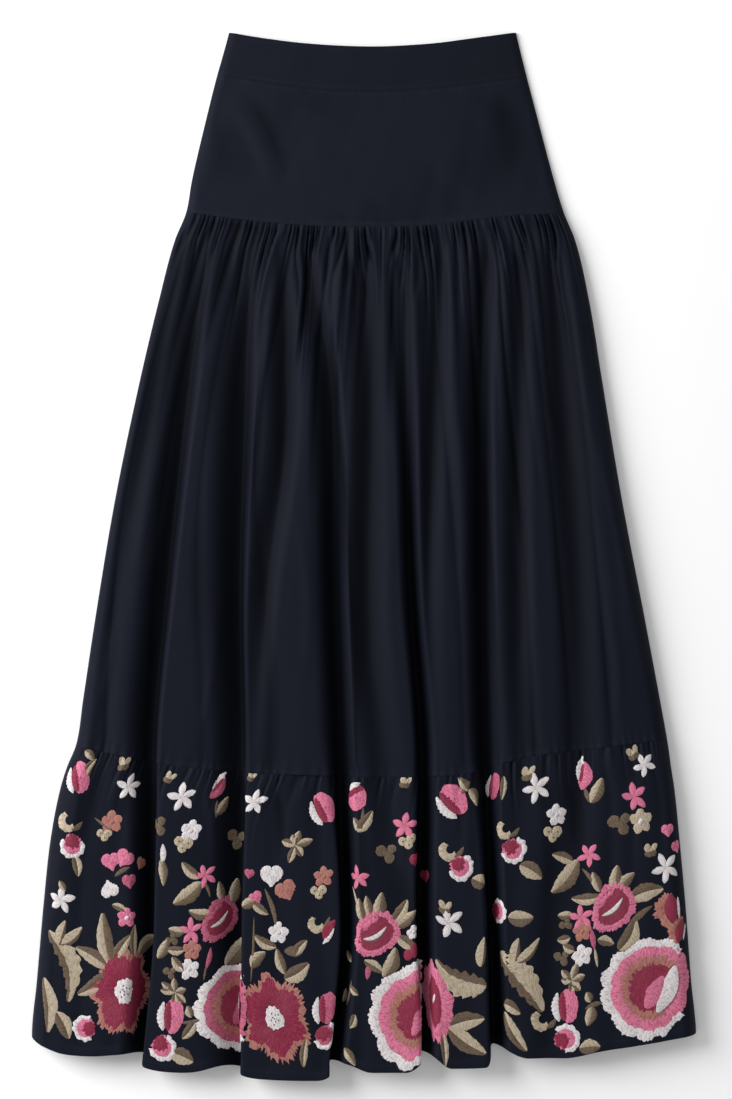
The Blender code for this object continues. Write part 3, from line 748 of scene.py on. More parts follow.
def pin(cloth, x, y, turn=0.0, size=1.0, seed=0, keep=None):
    # where a motif's centre is on the cloth: of the points seen close to x and y, the uppermost. keep is
    # the range of x past which a fold hides the motif
    away = np.hypot(cloth["points"][..., 0] - x, cloth["points"][..., 1] - y)
    outward = -cloth["points"][..., 2] if cloth["under"] else cloth["points"][..., 2]
    height = np.where(away < sewing["pinReach"], outward, -1e3 - away)
    row, column = np.unravel_index(np.argmax(height), away.shape)
    turn, random = math.radians(turn), np.random.default_rng(seed)
    return {
        "cloth": cloth, "column": column, "down": cloth["down"][row], "size": size, "keep": keep,
        "turn": (math.cos(turn), math.sin(turn)), "random": random, "phases": random.uniform(0, 2 * np.pi, 3),
    }


def patch(place, colour, u, v, height, stitch):
    # lays a grid of (u, v) on the cloth: u runs across from the motif's centre and v up from it, turned
    # and sized with the motif, and the grid stands off the cloth by its height, which nears the room
    # that there is as 1 minus an exponential
    cloth, layer = place["cloth"], stitched[colour]
    if cloth["room"]:
        height = cloth["room"] * (1 - np.exp(-height / sewing["pressed"]))
    cosine, sine = place["turn"]
    across = (u * cosine - v * sine) * place["size"]
    down = place["down"] - (u * sine + v * cosine) * place["size"]
    rowPlace = np.interp(down, cloth["down"], np.arange(len(cloth["down"])))
    row = np.minimum(rowPlace.astype(int), len(cloth["down"]) - 2)
    share = (rowPlace - row)[..., None]
    upper, lower = [readCloth(cloth, k, cloth["across"][k, place["column"]] + across) for k in (row, row + 1)]
    spot, normal = [a * (1 - share) + b * share for a, b in zip(upper, lower)]
    points = (spot + normal * height[..., None]).reshape(-1, 3)
    faces = gridQuads(np.arange(u.size).reshape(u.shape))
    if place["keep"]:
        middle = points[faces, 0].mean(1)
        faces = faces[(middle > place["keep"][0]) & (middle < place["keep"][1])]
    du, dv = np.gradient(u), np.gradient(v)
    turned = (du[0] * dv[1] - du[1] * dv[0]).sum() < 0
    layer["faces"].append(layer["count"] + (faces[:, ::-1] if turned != cloth["under"] else faces))
    layer["points"].append(points)
    layer["uv"].append(np.stack([np.broadcast_to(k, u.shape).ravel() for k in stitch], 1) * place["size"])
    layer["count"] += u.size


def spine(
    place, colour, start, end, width, bend=0.0, sides=(-1, 1), base=0.05, dome=0.55, blunt=1.0, jag=0.0,
    teeth=7, fray=0.07, long=False,
):
    # a petal, a leaf or a stem along a line from start to end that bows by a sine. Its half width is a
    # sine to the power 0.75, blunt moves the widest place, jag is a sawtooth along the edge and fray
    # lets stitches end unevenly. It is domed across, or for each half of a leaf, whose midrib then lies
    # in a groove. The threads slant, or run along it
    dx, dy = end[0] - start[0], end[1] - start[1]
    length = math.hypot(dx, dy)
    t = np.linspace(0, 1, int(np.clip(length / 1.6, 6, 32)))[:, None]
    q = np.linspace(*sides, 4 if width < 4 or tuple(sides) != (-1, 1) else 6)[None, :]
    profile = np.sin(np.pi * (0.03 + 0.94 * t**blunt)) ** 0.75
    profile = profile * place["random"].uniform(1 - fray, 1 + fray, t.shape)
    if jag:
        profile = profile * (1 + jag * ((t * teeth) % 1 - 0.5))
    side = bend * np.sin(np.pi * t) + q * width * profile
    u, v = start[0] + dx * t - dy / length * side, start[1] + dy * t + dx / length * side
    crown = 1 - q**2 if tuple(sides) == (-1, 1) else 1 - (2 * abs(q) - 1) ** 2
    height = base + dome * np.sqrt(np.maximum(crown, 0)) * np.minimum(1, 1.4 * profile)
    slant = t * length + 0.8 * abs(q) * width * profile
    patch(place, colour, u, v, height, (q * width, t * length) if long else (slant, q * width))


def heartRadius(a):
    # a heart with its tip down, as a radius at each angle from the notch:
    # 2 - 2 sin a + sin a times the root of |cos a| over sin a + 1.4, all over 3.2
    return (2 - 2 * np.sin(a) + np.sin(a) * np.sqrt(abs(np.cos(a))) / (np.sin(a) + 1.4)) / 3.2


def ring(
    place, colour, outer, inner=0.0, centre=(0.0, 0.0), lobes=0, scallop=0.0, arc=(0.0, 1.0),
    stretch=(1.0, 1.0), tilt=0.0, shift=(0.0, 0.0), base=0.05, dome=0.5, fray=0.05, heart=False, egg=0.0,
):
    # a disc or a ring: an angle round and a share from the inner to the outer edge, whose radius swells
    # into lobes with the absolute value of a cosine and wanders by two slow ones. shift moves the inner
    # edge, fray lets stitches end unevenly, and egg widens the upper half and narrows the lower
    steps = int(np.clip(4.2 * outer * (arc[1] - arc[0]), 11, 150))
    a, t = 2 * np.pi * np.linspace(*arc, steps)[:, None], np.linspace(0, 1, 4)[None, :]
    first, second, third = place["phases"]
    wander = 0.03 * (np.cos(2 * a + first) + np.cos(3 * a + second))
    lobe = abs(np.cos(lobes * a / 2 + 0.06 * lobes * np.sin(3 * a + second) + third)) - 0.6
    edge = heartRadius(a) if heart else 1 + scallop * lobe + wander
    ends = place["random"].uniform(1 - fray, 1 + fray, (2, *a.shape))
    ends[:, -1] = ends[:, 0]
    start = max(inner, 0.04 * outer) * (edge if heart else ends[0] if inner else 1)
    radius = start + (outer * edge * ends[1] - start) * t
    x = stretch[0] * radius * np.cos(a) * (1 + egg * np.sin(a)) + shift[0] * (1 - t)
    y = stretch[1] * radius * np.sin(a) + shift[1] * (1 - t)
    cosine, sine = math.cos(math.radians(tilt)), math.sin(math.radians(tilt))
    u, v = centre[0] + x * cosine - y * sine, centre[1] + x * sine + y * cosine
    height = base + dome * np.sqrt(np.maximum(1 - (2 * t - 1) ** 2 if inner else 1 - t**2, 0)) + 0 * a
    stitch = (a * (inner + outer) / 2, radius) if inner else (u, v)
    patch(place, colour, u, v, height, stitch)


# Motifs, each drawn round its own centre with +v towards the waist


def star(place, colour):
    # five petals, one every 72 degrees, each turned and lengthened a little at random
    for k in range(5):
        a = math.radians(90 + 72 * k) + place["random"].normal(0, 0.1)
        reach = 14.2 * place["random"].uniform(0.86, 1.08)
        tip = (reach * math.cos(a), reach * math.sin(a))
        base = 0.05 + 0.06 * (k % 2)
        spine(place, colour, (0, 0), tip, 3.4, long=True, blunt=1.15, base=base, bend=0.5)


def cap(place, colour):
    ring(place, "olive", 3.9, centre=(-1.8, -2.6), stretch=(1.1, 0.9))
    ring(place, "olive", 3.4, centre=(2.6, -1.6))
    ring(place, colour, 3.9, centre=(-3.6, 2.6), base=0.3, stretch=(0.9, 1.1), tilt=30)
    ring(place, colour, 3.5, centre=(3.0, 4.2), base=0.3, stretch=(0.8, 1.15), tilt=-20)
    spine(place, colour, (-3.4, 0.4), (3.2, 1.6), 1.7, base=0.35)


def blossom(place, colour):
    # five discs, one every 72 degrees, and an eye
    for k in range(5):
        a = math.radians(90 + 72 * k) + place["random"].normal(0, 0.09)
        middle = (5.6 * math.cos(a), 5.6 * math.sin(a))
        ring(place, colour, 4.3, centre=middle, stretch=(1.15, 0.95), tilt=math.degrees(a), fray=0.1)
    ring(place, "salmon" if colour == "salmon" else "white", 2.3, base=0.5, dome=0.6)


def discs(place, colour):
    for x, y, radius in ((-5.0, 1.4, 4.6), (4.4, 0.4, 5.2), (-0.4, -4.6, 4.6)):
        ring(place, colour, radius, centre=(x, y), dome=0.6)
        ring(place, "olive", 1.0, centre=(x + 0.4, y - 0.3), base=0.66, dome=0.2)


def bud(place, colour):
    ring(
        place, colour, 12, centre=(1.5, 0), stretch=(0.8, 1.34), base=0.3, dome=0.7,
        lobes=7, scallop=0.06, fray=0.04,
    )
    spine(place, "crimson", (-3.4, -13.5), (-3.4, 13), 4.6, bend=1.2, base=0.9, dome=0.3, jag=0.6)
    spine(place, "white", (-8.4, -14), (-8.4, 12.5), 4.2, bend=2.4, base=0.75, dome=0.5, jag=0.5, blunt=0.95)


def slimBud(place, colour):
    spine(place, colour, (-2.5, -17), (0.5, 11), 8.0, bend=-2.5, base=0.3, dome=0.7)
    spine(place, "crimson", (-3.6, -10), (-1.2, 9), 3.4, base=0.9, dome=0.3, jag=0.6)
    spine(place, "white", (-6.4, -7), (-1, 16.5), 4.0, bend=1.5, base=0.75, dome=0.4, jag=0.4)


def tulip(place, colour):
    ring(
        place, colour, 11.4, centre=(0.5, -2), stretch=(0.92, 1.12), base=0.3, dome=0.7,
        lobes=5, scallop=0.06,
    )
    spine(place, "crimson", (-10, -1), (7, 9), 4.0, bend=1.5, base=0.9, dome=0.3, jag=0.3)
    spine(place, "white", (-8.5, 4), (3, 13.5), 3.6, bend=1.5, base=0.6, dome=0.6, jag=0.5)


def roundBud(place, colour):
    ring(place, "white", 13.2, 8, arc=(0.53, 1.2), lobes=9, scallop=0.12, dome=0.7, fray=0.03)
    ring(place, colour, 10.2, centre=(-0.8, 1.4), base=0.3, dome=0.6, fray=0.12)
    ring(place, "crimson", 7.4, centre=(-2.6, 3.4), base=0.75, dome=0.5, fray=0.2)


def crescent(place, colour):
    ring(place, colour, 9.8, 4.2, arc=(0.32, 0.92), shift=(2.2, 1.8), dome=0.6)
    spine(place, "olive", (5.0, -6.5), (15.5, 3.0), 2.6, bend=-1.5, base=0.1)


def heart(place, colour):
    ring(place, colour, 12.2, centre=(0, 4.8), heart=True, dome=0.9)


def trefoil(place, colour):
    for x, y, radius in ((-6.4, 2.8, 5.8), (4.8, 4.6, 4.6), (2.4, -5.0, 5.2)):
        ring(place, colour, radius, centre=(x, y), dome=0.45, fray=0.08)
    spine(place, colour, (-7, 1), (6, -2), 3.4, base=0.2)


def sprig(place, colour):
    # small two-toned leaves from one point, at angles and lengths that vary at random
    for angle in (170, 122, 66, 10, -52, -108):
        a = math.radians(angle) + place["random"].normal(0, 0.16)
        reach = place["random"].uniform(10, 19)
        tip = (reach * math.cos(a), reach * math.sin(a))
        for tone, sides in ((colour, (0, 1)), ("olive", (0, -1))):
            spine(place, tone, (0, 0), tip, 4.0, sides=sides, base=0.1, blunt=1.1)


def ovalBloom(place, colour):
    ring(place, colour, 26.5, 15, lobes=11, scallop=0.07, stretch=(0.84, 1.06), base=0.35, dome=0.6, egg=0.16)
    ring(
        place, "crimson", 21, centre=(-0.5, 0.5), stretch=(0.8, 1.06), base=0.8, dome=0.6,
        fray=0.08, egg=0.16,
    )
    ring(
        place, colour, 13, 6, arc=(0.3, 0.62), centre=(-6, 3), stretch=(0.8, 1.2), base=1.15, dome=0.3,
        fray=0.16,
    )
    # the olive line that shows beside the white slit stands for the slit's shadow: painted shadow
    spine(place, "olive", (-4, -13), (4.5, 12), 2.2, bend=-3.4, base=1.3, dome=0.3)
    spine(place, "white", (-6.5, -13), (3.5, 14), 2.5, bend=-3.4, base=1.5, dome=0.4, blunt=0.9)


def fringedBloom(place, colour):
    # six wide lobes round a pale eye, whose seeds lie on a spiral: the square root of their number out
    ring(place, colour, 35, 20, lobes=6, scallop=0.22, stretch=(0.9, 1.14), fray=0.09)
    ring(place, "crimson", 30, 7, lobes=6, scallop=0.24, stretch=(0.9, 1.14), base=0.45, dome=0.8, fray=0.06)
    ring(place, "white", 9.6, stretch=(0.92, 1.24), base=1.15, dome=0.8, fray=0.14)
    for k in range(9):
        a = 2.4 * k
        spot = (1.7 * math.sqrt(k) * math.cos(a), 2.3 * math.sqrt(k) * math.sin(a))
        ring(place, "olive", 0.8, centre=spot, base=1.9, dome=0.2)


def bigBloom(place, colour):
    ring(place, "white", 48, 35, arc=(0.11, 0.88), lobes=11, scallop=0.09, dome=0.8, fray=0.025)
    ring(place, colour, 42, 25, lobes=11, scallop=0.07, centre=(3, 0), base=0.5, dome=0.9, fray=0.025)
    ring(place, "salmon", 32, 19, arc=(0.10, 0.82), centre=(2, 0), base=1.1, fray=0.14)
    ring(place, "crimson", 24, centre=(3, -1), base=1.4, dome=0.6, fray=0.16)
    spine(place, colour, (-4, -19), (16, 9), 9.5, bend=-1, base=1.9, dome=0.5)
    spine(place, "white", (7, -25), (29, 17), 8.6, bend=-3, base=2.0, dome=0.6, fray=0.04)


def tallBloom(place, colour):
    ring(place, colour, 27, 9, lobes=9, scallop=0.14, stretch=(0.8, 1.4), dome=0.8)
    ring(place, "crimson", 18, stretch=(0.5, 1.6), base=0.65, dome=0.6, fray=0.08)
    spine(place, "white", (-1, -2), (3, 8), 1.5, base=1.3)


def halfBud(place, colour):
    ring(place, "salmon", 16, 6, arc=(0.22, 0.78), lobes=8, scallop=0.2, fray=0.12)
    spine(place, "crimson", (1.0, -14), (1.0, 14), 7.0, base=0.5, dome=0.8, long=True)
    spine(place, "white", (8.2, -10), (8.2, 10), 1.8, base=0.6)


# Where each motif is on the front: kind, thread, x, y, turned by so many degrees, size
frontMotifs = (
    (bud, "lightPink", -284, -218, 26, 0.92), (cap, "cream", -240, -210, 0, 1),
    (star, "white", -231, -231, 8, 0.95), (cap, "cream", -192, -223, -25, 0.85),
    (star, "white", -183, -240, 14, 1), (slimBud, "pink", -141, -230, -18, 0.8),
    (cap, "cream", -111, -223, -30, 0.75), (star, "white", -108, -243, 0, 0.95),
    (bud, "lightPink", -42, -249, 33, 0.98), (tulip, "lightPink", -11, -240, 0, 1),
    (cap, "cream", 42, -229, -20, 0.9), (star, "lightPink", 38, -267, -6, 1),
    (discs, "cream", 41, -285, 20, 0.95), (trefoil, "olive", 26, -296, 0, 0.95),
    (crescent, "cream", -298, -264, 0, 1), (roundBud, "lightPink", -288, -291, -35, 0.92),
    (blossom, "salmon", -252, -264, 10, 1.05), (discs, "cream", -261, -276, 15, 0.8),
    (trefoil, "olive", -208, -270, 20, 0.9), (blossom, "white", -171, -271, 0, 1),
    (discs, "cream", -176, -286, 0, 1), (trefoil, "olive", -124, -283, -15, 0.95),
    (sprig, "cream", -67, -286, 0, 1), (heart, "lightPink", -254, -303, 15, 1.1),
    (heart, "lightPink", -238, -298, -28, 1.1), (heart, "pink", -231, -322, 10, 0.9),
    (heart, "salmon", -220, -308, -20, 0.8), (heart, "white", -255, -330, 200, 1.05),
    (star, "white", -303, -340, 5, 1), (star, "lightPink", -155, -318, 25, 0.85),
    (heart, "white", -94, -318, 4, 1.32), (heart, "salmon", -80, -332, 28, 1.25),
    (heart, "lightPink", -106, -338, 35, 0.8), (heart, "pink", -112, -314, 0, 0.6),
    (blossom, "salmon", -43, -320, 0, 0.95), (discs, "cream", -48, -334, 10, 0.85),
    (star, "lightPink", -9, -323, 15, 0.9), (blossom, "lightPink", -238, -360, 0, 0.95),
    (star, "lightPink", -169, -372, 5, 0.9), (blossom, "salmon", -169, -391, 0, 0.95),
    (trefoil, "olive", -188, -380, 40, 0.6), (blossom, "white", -172, -412, 8, 1),
    (trefoil, "olive", -193, -412, 0, 0.6), (ovalBloom, "pink", -141, -365, -33, 0.82),
    (blossom, "white", -86, -373, 0, 1), (crescent, "cream", -47, -363, 10, 0.9),
    (slimBud, "crimson", -39, -374, 150, 0.7), (ovalBloom, "lightPink", 12, -374, -40, 0.9),
    (fringedBloom, "salmon", -235, -434, 0, 1.02), (sprig, "cream", -186, -433, 20, 0.9),
    (bud, "lightPink", -193, -456, 0, 1.02), (roundBud, "lightPink", -201, -487, 0, 1),
    (roundBud, "lightPink", -279, -468, -125, 0.92), (bud, "pink", -41, -450, 0, 0.95),
    (roundBud, "pink", -40, -477, 0, 0.95),
    (bud, "lightPink", 91, -242, 45, 1.12), (bud, "pink", 126, -231, -10, 0.85),
    (cap, "cream", 161, -216, -10, 1.05), (star, "white", 173, -229, 20, 1.02),
    (slimBud, "lightPink", 216, -216, -4, 0.95), (cap, "cream", 270, -200, 10, 1),
    (star, "white", 280, -212, 30, 0.9), (star, "lightPink", 266, -240, 4, 1),
    (blossom, "cream", 278, -263, 0, 1.15), (trefoil, "olive", 255, -267, 0, 1.05),
    (crescent, "cream", 141, -272, -10, 1), (roundBud, "lightPink", 151, -292, 0, 0.98),
    (blossom, "white", 194, -259, 5, 1), (discs, "cream", 191, -276, 0, 1),
    (crescent, "cream", 83, -291, 0, 1), (roundBud, "lightPink", 99, -310, 0, 0.98),
    (star, "lightPink", 221, -299, 30, 0.85), (heart, "lightPink", 305, -275, 0, 0.8),
    (heart, "lightPink", 314, -292, 10, 0.8), (cap, "cream", 288, -296, -10, 1),
    (star, "white", 297, -311, 20, 1), (ovalBloom, "lightPink", 246, -348, -36, 0.9),
    (halfBud, "salmon", 303, -351, 0, 1), (halfBud, "salmon", 317, -374, -20, 0.8),
    (heart, "crimson", 54, -301, 0, 0.85), (heart, "crimson", 59, -321, 10, 0.85),
    (blossom, "white", 46, -373, 0, 0.7), (heart, "crimson", 45, -394, 180, 1.1),
    (cap, "cream", 77, -350, -15, 1), (star, "white", 88, -364, 15, 1.08),
    (roundBud, "lightPink", 132, -354, 50, 0.95), (star, "lightPink", 214, -358, 0, 0.9),
    (blossom, "salmon", 214, -375, 0, 0.95), (trefoil, "olive", 199, -368, 30, 0.6),
    (blossom, "white", 214, -398, 6, 1), (trefoil, "olive", 194, -401, 0, 0.7),
    (tallBloom, "lightPink", 68, -446, 4, 1.02), (sprig, "cream", 204, -421, 10, 1),
    (bud, "lightPink", 199, -446, 0, 1.02), (crescent, "cream", 178, -465, -5, 1),
    (roundBud, "lightPink", 198, -479, 70, 1.02), (bigBloom, "lightPink", 280, -428, 0, 0.98),
)

# The same for motifs that run into a fold, with the range of x that shows
cutMotifs = (
    (bigBloom, "lightPink", 51, -456, 0, 1.02, -40, 57),
    (bigBloom, "pink", -126, -450, 10, 0.9, -400, -118),
    (fringedBloom, "salmon", -90, -459, 20, 1.0, -121, 400),
)

# Leaves, each from its base to its tip: x0, y0, x1, y1, half width, bow
frontLeaves = (
    (-279, -196, -267, -203, 4, 1), (-269, -205, -272, -228, 4, -3), (-252, -409, -264, -358, 8, 2),
    (-252, -408, -235, -379, 6, 1),
    (-255, -406, -288, -389, 7, -2), (-252, -411, -286, -437, 8, 3), (-225, -397, -227, -366, 5, 1),
    (-225, -397, -203, -378, 7, 2), (-162, -318, -181, -304, 5, 1), (-162, -323, -187, -344, 8, 2),
    (-129, -349, -124, -323, 6, 0), (-123, -350, -106, -337, 5, -1), (-148, -354, -172, -351, 5.5, 2),
    (-136, -347, -142, -326, 5, 0), (-136, -408, -116, -380, 8.5, -3), (-177, -371, -193, -369, 5, 1),
    (-178, -389, -196, -389, 4.5, 1), (-177, -410, -189, -397, 5, 1), (-109, -346, -92, -357, 4.5, -1),
    (-84, -388, -107, -378, 5, 2), (-80, -416, -89, -393, 5, 1), (-81, -420, -57, -405, 8, -2),
    (-109, -411, -96, -395, 6, 2), (-305, -456, -290, -478, 8, 2), (-189, -495, -167, -504, 8, 1),
    (-169, -460, -173, -449, 4.5, 0), (-166, -465, -178, -480, 5.5, 1), (-58, -508, -54, -481, 4, 1),
    (16, -364, 21, -336, 6.5, 0), (2, -362, -3, -340, 5.5, 1), (26, -366, 41, -344, 6, -1),
    (9, -361, 5, -340, 4.5, 0), (30, -368, 51, -356, 6, 1), (30, -378, 46, -392, 6, 1),
    (23, -418, 35, -390, 7.5, -3), (1, -403, 20, -414, 5, 1), (-4, -273, 10, -252, 6, -1),
    (-4, -273, -15, -261, 5, 1), (-144, -257, -133, -240, 5.5, -1), (-200, -303, -194, -327, 4.5, 1),
    (-253, -347, -238, -353, 3.5, 1), (-287, -297, -281, -316, 5, 1), (-24, -490, -10, -503, 5.5, 1),
    (-12, -405, -22, -396, 4.5, 1), (-8, -436, -20, -430, 4, 1),
    (-70, -398, -58, -384, 5, 1), (-205, -398, -196, -378, 5, -1),
    (103, -236, 91, -222, 4.5, -1), (108, -230, 116, -248, 5, 2), (139, -221, 137, -244, 3.5, 1),
    (221, -245, 235, -223, 6.5, -1), (158, -305, 179, -320, 8, 1), (105, -320, 120, -331, 7, 1),
    (211, -307, 190, -297, 5, -1), (217, -307, 189, -334, 9, 3), (244, -334, 250, -308, 6.5, 0),
    (252, -334, 272, -318, 6, 1), (262, -337, 296, -332, 8.5, 2), (236, -333, 230, -314, 5, 0),
    (232, -340, 203, -338, 5.5, 2), (255, -390, 273, -362, 9, -4), (235, -381, 251, -387, 5, 1),
    (143, -358, 168, -358, 8, 0), (204, -358, 190, -358, 4.5, 1), (204, -378, 191, -379, 4.5, 1),
    (206, -395, 195, -388, 4.5, 1), (81, -466, 117, -459, 9, 2), (82, -469, 118, -495, 9, -2),
    (80, -468, 83, -505, 5, 1), (133, -450, 153, -453, 7, 2), (133, -457, 158, -487, 9, -2),
    (222, -444, 219, -434, 4.5, 0), (225, -450, 219, -467, 6, 1), (211, -486, 232, -489, 7, 1),
    (-7, -455, -12, -470, 4, 1), (-18, -432, -26, -446, 4, 1), (-298, -330, -305, -322, 4, 0),
)

# Big toothed leaves: x0, y0, x1, y1, half width, bow; and stems: thread, x0, y0, x1, y1, half width, bow
frontAntlers = (
    (-319, -378, -293, -438, 10.5, 13), (-303, -386, -297, -360, 5, 1), (-300, -390, -278, -370, 5.5, -2),
    (-324, -424, -314, -472, 8, 5),
    (131, -396, 177, -449, 13.5, 6), (145, -405, 151, -380, 5, 1), (151, -406, 178, -383, 5, -3),
    (124, -431, 72, -407, 12, 6), (113, -408, 118, -381, 6, 1),
)
frontStems = (
    ("olive", -270, -212, -277, -228, 2.2, 1), ("olive", -272, -262, -252, -272, 1.4, 0),
    ("olive", -250, -318, -236, -308, 2.4, 1), ("white", -202, -287, -199, -305, 3, 0.5),
    ("olive", -100, -330, -86, -366, 2.2, 2), ("olive", -80, -391, -63, -393, 5, 1),
    ("olive", -109, -362, -108, -423, 1.3, 1), ("cream", -17, -331, -6, -355, 1.5, 1),
    ("olive", -180, -462, -157, -459, 2.2, -1), ("olive", -145, -246, -143, -262, 2, 0),
    ("pink", -150, -392, -154, -412, 2.6, 1), ("olive", -154, -410, -156, -424, 1.2, 0),
    ("olive", -4, -252, -4, -272, 1.8, 0), ("olive", 99, -238, 108, -226, 2.6, -1),
    ("olive", 217, -232, 221, -246, 2.4, 0), ("olive", 214, -311, 227, -330, 2.0, 1),
    ("olive", 257, -372, 285, -352, 3.2, 2), ("pink", 229, -371, 231, -390, 2.8, 0),
    ("cream", 231, -388, 233, -406, 1.6, 0), ("olive", 217, -447, 235, -444, 2.4, 1),
    ("pink", 2, -404, 0, -420, 2.8, 0), ("olive", -158, -326, -150, -342, 1.5, 1),
    ("olive", -12, -420, -22, -446, 1.8, 1),
)


def alongLine(cloth, line, seed, halves, **form):
    # sews spines along a line (x0, y0, x1, y1, half width, bow), one for each (thread, sides) of halves
    x0, y0, x1, y1, width, bow = line
    place = pin(cloth, (x0 + x1) / 2, (y0 + y1) / 2, seed=seed)
    tip = ((x1 - x0) / 2, (y1 - y0) / 2)
    for colour, sides in halves:
        spine(place, colour, (-tip[0], -tip[1]), tip, width, bow, sides, **form)


def leaf(cloth, seed, *line):
    # two halves, one cream and one olive, on either side of the midrib
    light = 1 if seed % 3 else -1
    halves = (("cream", (0, light)), ("olive", (0, -light)))
    alongLine(cloth, line, seed, halves, base=0.08, dome=0.7, blunt=0.85)


def antler(cloth, seed, *line):
    # a leaf that is mostly cream, toothed where it is wide
    halves = (("cream", (-0.35, 1)), ("olive", (-1, -0.35)))
    alongLine(cloth, line, seed, halves, dome=0.6, blunt=0.8, jag=0.35 if line[4] > 8 else 0.0, teeth=6)


def stem(cloth, seed, colour, *line):
    # one spine of one thread
    alongLine(cloth, line, seed, ((colour, (-1, 1)),))


def embroider(name, side, reach, firstSeed, blooms, bloomSeed, room=None):
    # sews the leaves, stems and motifs on a hem tier. side is 1 on the front and -1 on the back, which
    # mirrors them, and reach leaves out what would run off the tier's side edges
    surface, under, down, _ = sewnSheets[name]
    cloth = clothMap(surface if side > 0 else under, down, side < 0, room)
    for draw, table in ((antler, frontAntlers), (leaf, frontLeaves), (stem, frontStems)):
        for seed, (*tone, x0, y0, x1, y1, width, bow) in enumerate(table):
            if max(abs(x0), abs(x1)) < reach:
                draw(cloth, seed, *tone, side * x0, y0, side * x1, y1, width, side * bow)
    for seed, (motif, colour, x, y, turn, size) in enumerate(frontMotifs, firstSeed):
        if abs(x) < reach:
            motif(pin(cloth, side * x, y, side * turn, size, seed), colour)
    for seed, (motif, colour, x, y, turn, size, *keep) in enumerate(blooms, bloomSeed):
        motif(pin(cloth, x, y, turn, size, seed, keep), colour)
    print(name, "embroidered")


# The back isn't seen in the photograph. Its tier has the front's motifs, mirrored, pressed under it
backBlooms = ((bigBloom, "lightPink", -248, -430, 0, 0.95), (bigBloom, "pink", 96, -448, 20, 0.9))
embroider("hemTierFront", 1, math.inf, 0, cutMotifs, 500)
embroider("hemTierBack", -1, sewing["backReach"], 700, backBlooms, 900, sewing["backRoom"])

satin = {
    "roughness": 0.5, "specular": 0.25, "bump": 0.8, "bumpDepth": 0.3,
    "thread": {"Pitch": 1.15},  # mm from one thread to the next
}


def threadGroup():
    # satin stitch: a rounded ridge for each thread, the sine of the coordinate across the threads, and
    # a tone of its own for each, from noise drawn out along it. The grooves between threads lean to the
    # second tone, which paints shade in them where that tone is the darker
    outputs = ("Height", "Tone", "Roughness Change")
    group, start, end = newGroup("satinStitch", "Stitch", satin["thread"], outputs)
    place = addNode(group, "SeparateXYZ", {0: start["Stitch"]}).outputs
    wander = maths(group, "MULTIPLY", noise(group, start["Stitch"], (1, 1), 0.35), 0.9)
    across = maths(group, "DIVIDE", maths(group, "ADD", place["X"], wander), start["Pitch"])
    ridge = maths(group, "ABSOLUTE", maths(group, "SINE", maths(group, "MULTIPLY", across, math.pi)))
    single = noise(group, start["Stitch"], (0.75, 0.16), 1.0)
    coarse = noise(group, start["Stitch"], (1, 1), 0.5, 3.0)
    tone = maths(group, "MULTIPLY_ADD", single, 3.0, maths(group, "MULTIPLY_ADD", coarse, 2.4, -2.5))
    # painted shade: the lower a place lies between two threads, the more of the second tone it takes
    tone = maths(group, "ADD", tone, maths(group, "MULTIPLY_ADD", ridge, -0.7, 0.5))
    tone.node.use_clamp = True
    change = maths(group, "MULTIPLY", coarse, 0.15)
    feed(group, end, {"Height": ridge, "Tone": tone, "Roughness Change": change})
    return group


def threadMaterial(name, colour, tone):
    # satin stitches whose threads lie between two tones
    material, tree, _, stitches = startMaterial(name, satinTree, "Stitch", satin["thread"])
    colours = {"Factor": stitches["Tone"], "A": (*colour, 1), "B": (*tone, 1)}
    mix = addNode(tree, "Mix", colours, data_type="RGBA")
    finishMaterial(tree, satin, mix.outputs["Result"], stitches["Roughness Change"], stitches["Height"])
    return material


satinTree = threadGroup()
triangles = 0
for colour, layer in stitched.items():
    material = threadMaterial(colour + "Thread", *threads[colour])
    parts = [np.concatenate(layer[name]) for name in ("points", "faces", "uv")]
    makeMesh(colour + "Embroidery", *parts, material, "embroidered_poplin")
    triangles += 2 * len(parts[1])
print("embroidery sewn,", triangles, "triangles")

# Floor, light and camera

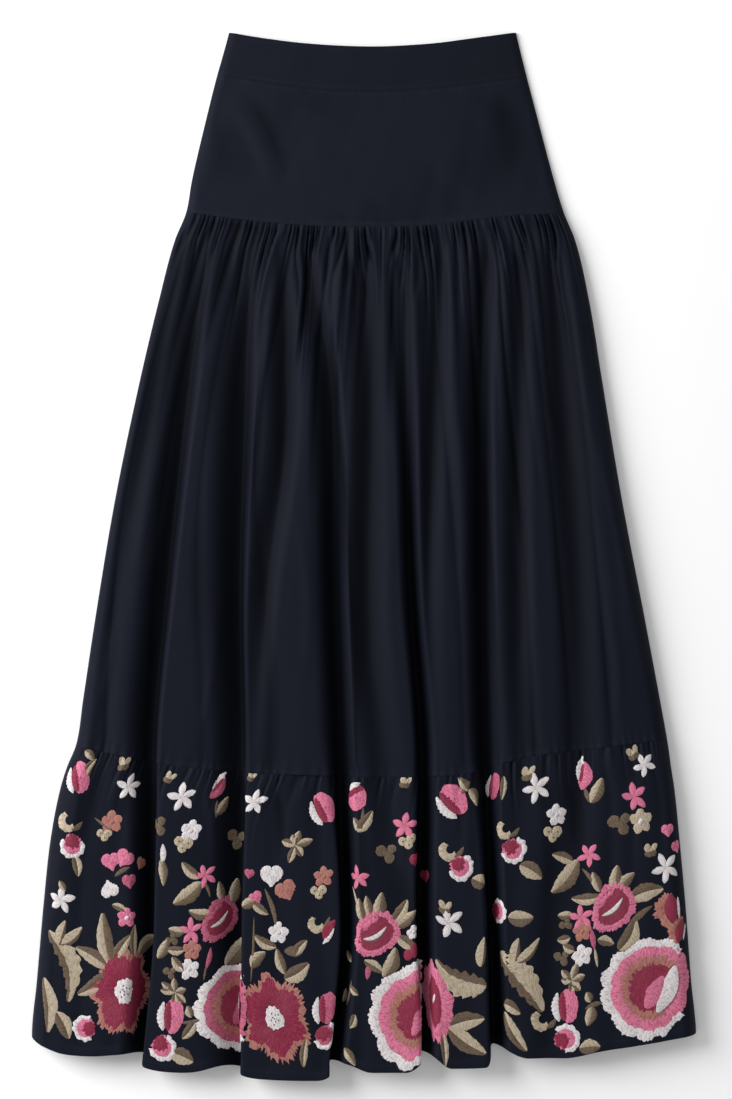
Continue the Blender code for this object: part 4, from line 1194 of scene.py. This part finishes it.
studio = {
    "cameraAt": (0.002, 0.0055, 3.5), "lens": 114.65, "sensor": 36.0,
    "floorColour": 0.9, "floorSize": 9.0, "floorDrop": 0.0002,
    "skyStrength": 0.565,
    "keyAt": (-2.45, 0.95, 1.50), "keySize": 2.2, "keyPower": 134.0,
}

floorMesh = bpy.data.meshes.new("floor")
half = studio["floorSize"] / 2
corners = [(x * half, y * half, -studio["floorDrop"]) for x, y in ((-1, -1), (1, -1), (1, 1), (-1, 1))]
floorMesh.from_pydata(corners, [], [(0, 1, 2, 3)])
floorPaper = bpy.data.materials.new("paleFloor")
floorPaper.use_nodes = True
paper = floorPaper.node_tree.nodes["Principled BSDF"]
paper.inputs["Base Color"].default_value = (studio["floorColour"],) * 3 + (1,)
paper.inputs["Roughness"].default_value = 1.0
paper.inputs["Specular IOR Level"].default_value = 0.0
floorMesh.materials.append(floorPaper)
floor = bpy.data.objects.new("floor", floorMesh)
bpy.context.scene.collection.objects.link(floor)

world = bpy.data.worlds.new("studioSky")
bpy.context.scene.world = world
world.use_nodes = True
sky = world.node_tree.nodes["Background"].inputs
sky["Color"].default_value = (1, 1, 1, 1)
sky["Strength"].default_value = studio["skyStrength"]

keyLight = bpy.data.lights.new("softKey", "AREA")
keyLight.shape = "DISK"
keyLight.size = studio["keySize"]
keyLight.energy = studio["keyPower"]
key = bpy.data.objects.new("softKey", keyLight)
key.location = studio["keyAt"]
toSkirt = -np.array(studio["keyAt"])
key.rotation_euler = (
    math.atan2(math.hypot(toSkirt[0], toSkirt[1]), -toSkirt[2]),
    0,
    math.atan2(toSkirt[0], -toSkirt[1]) + math.pi,
)
bpy.context.scene.collection.objects.link(key)

camera = bpy.data.cameras.new("overhead")
camera.sensor_width = studio["sensor"]
camera.lens = studio["lens"]
camera.clip_end = 50
overhead = bpy.data.objects.new("overhead", camera)
overhead.location = studio["cameraAt"]
bpy.context.scene.collection.objects.link(overhead)
bpy.context.scene.camera = overhead
bpy.context.scene.view_settings.view_transform = "Standard"
print("floor, light and camera set")
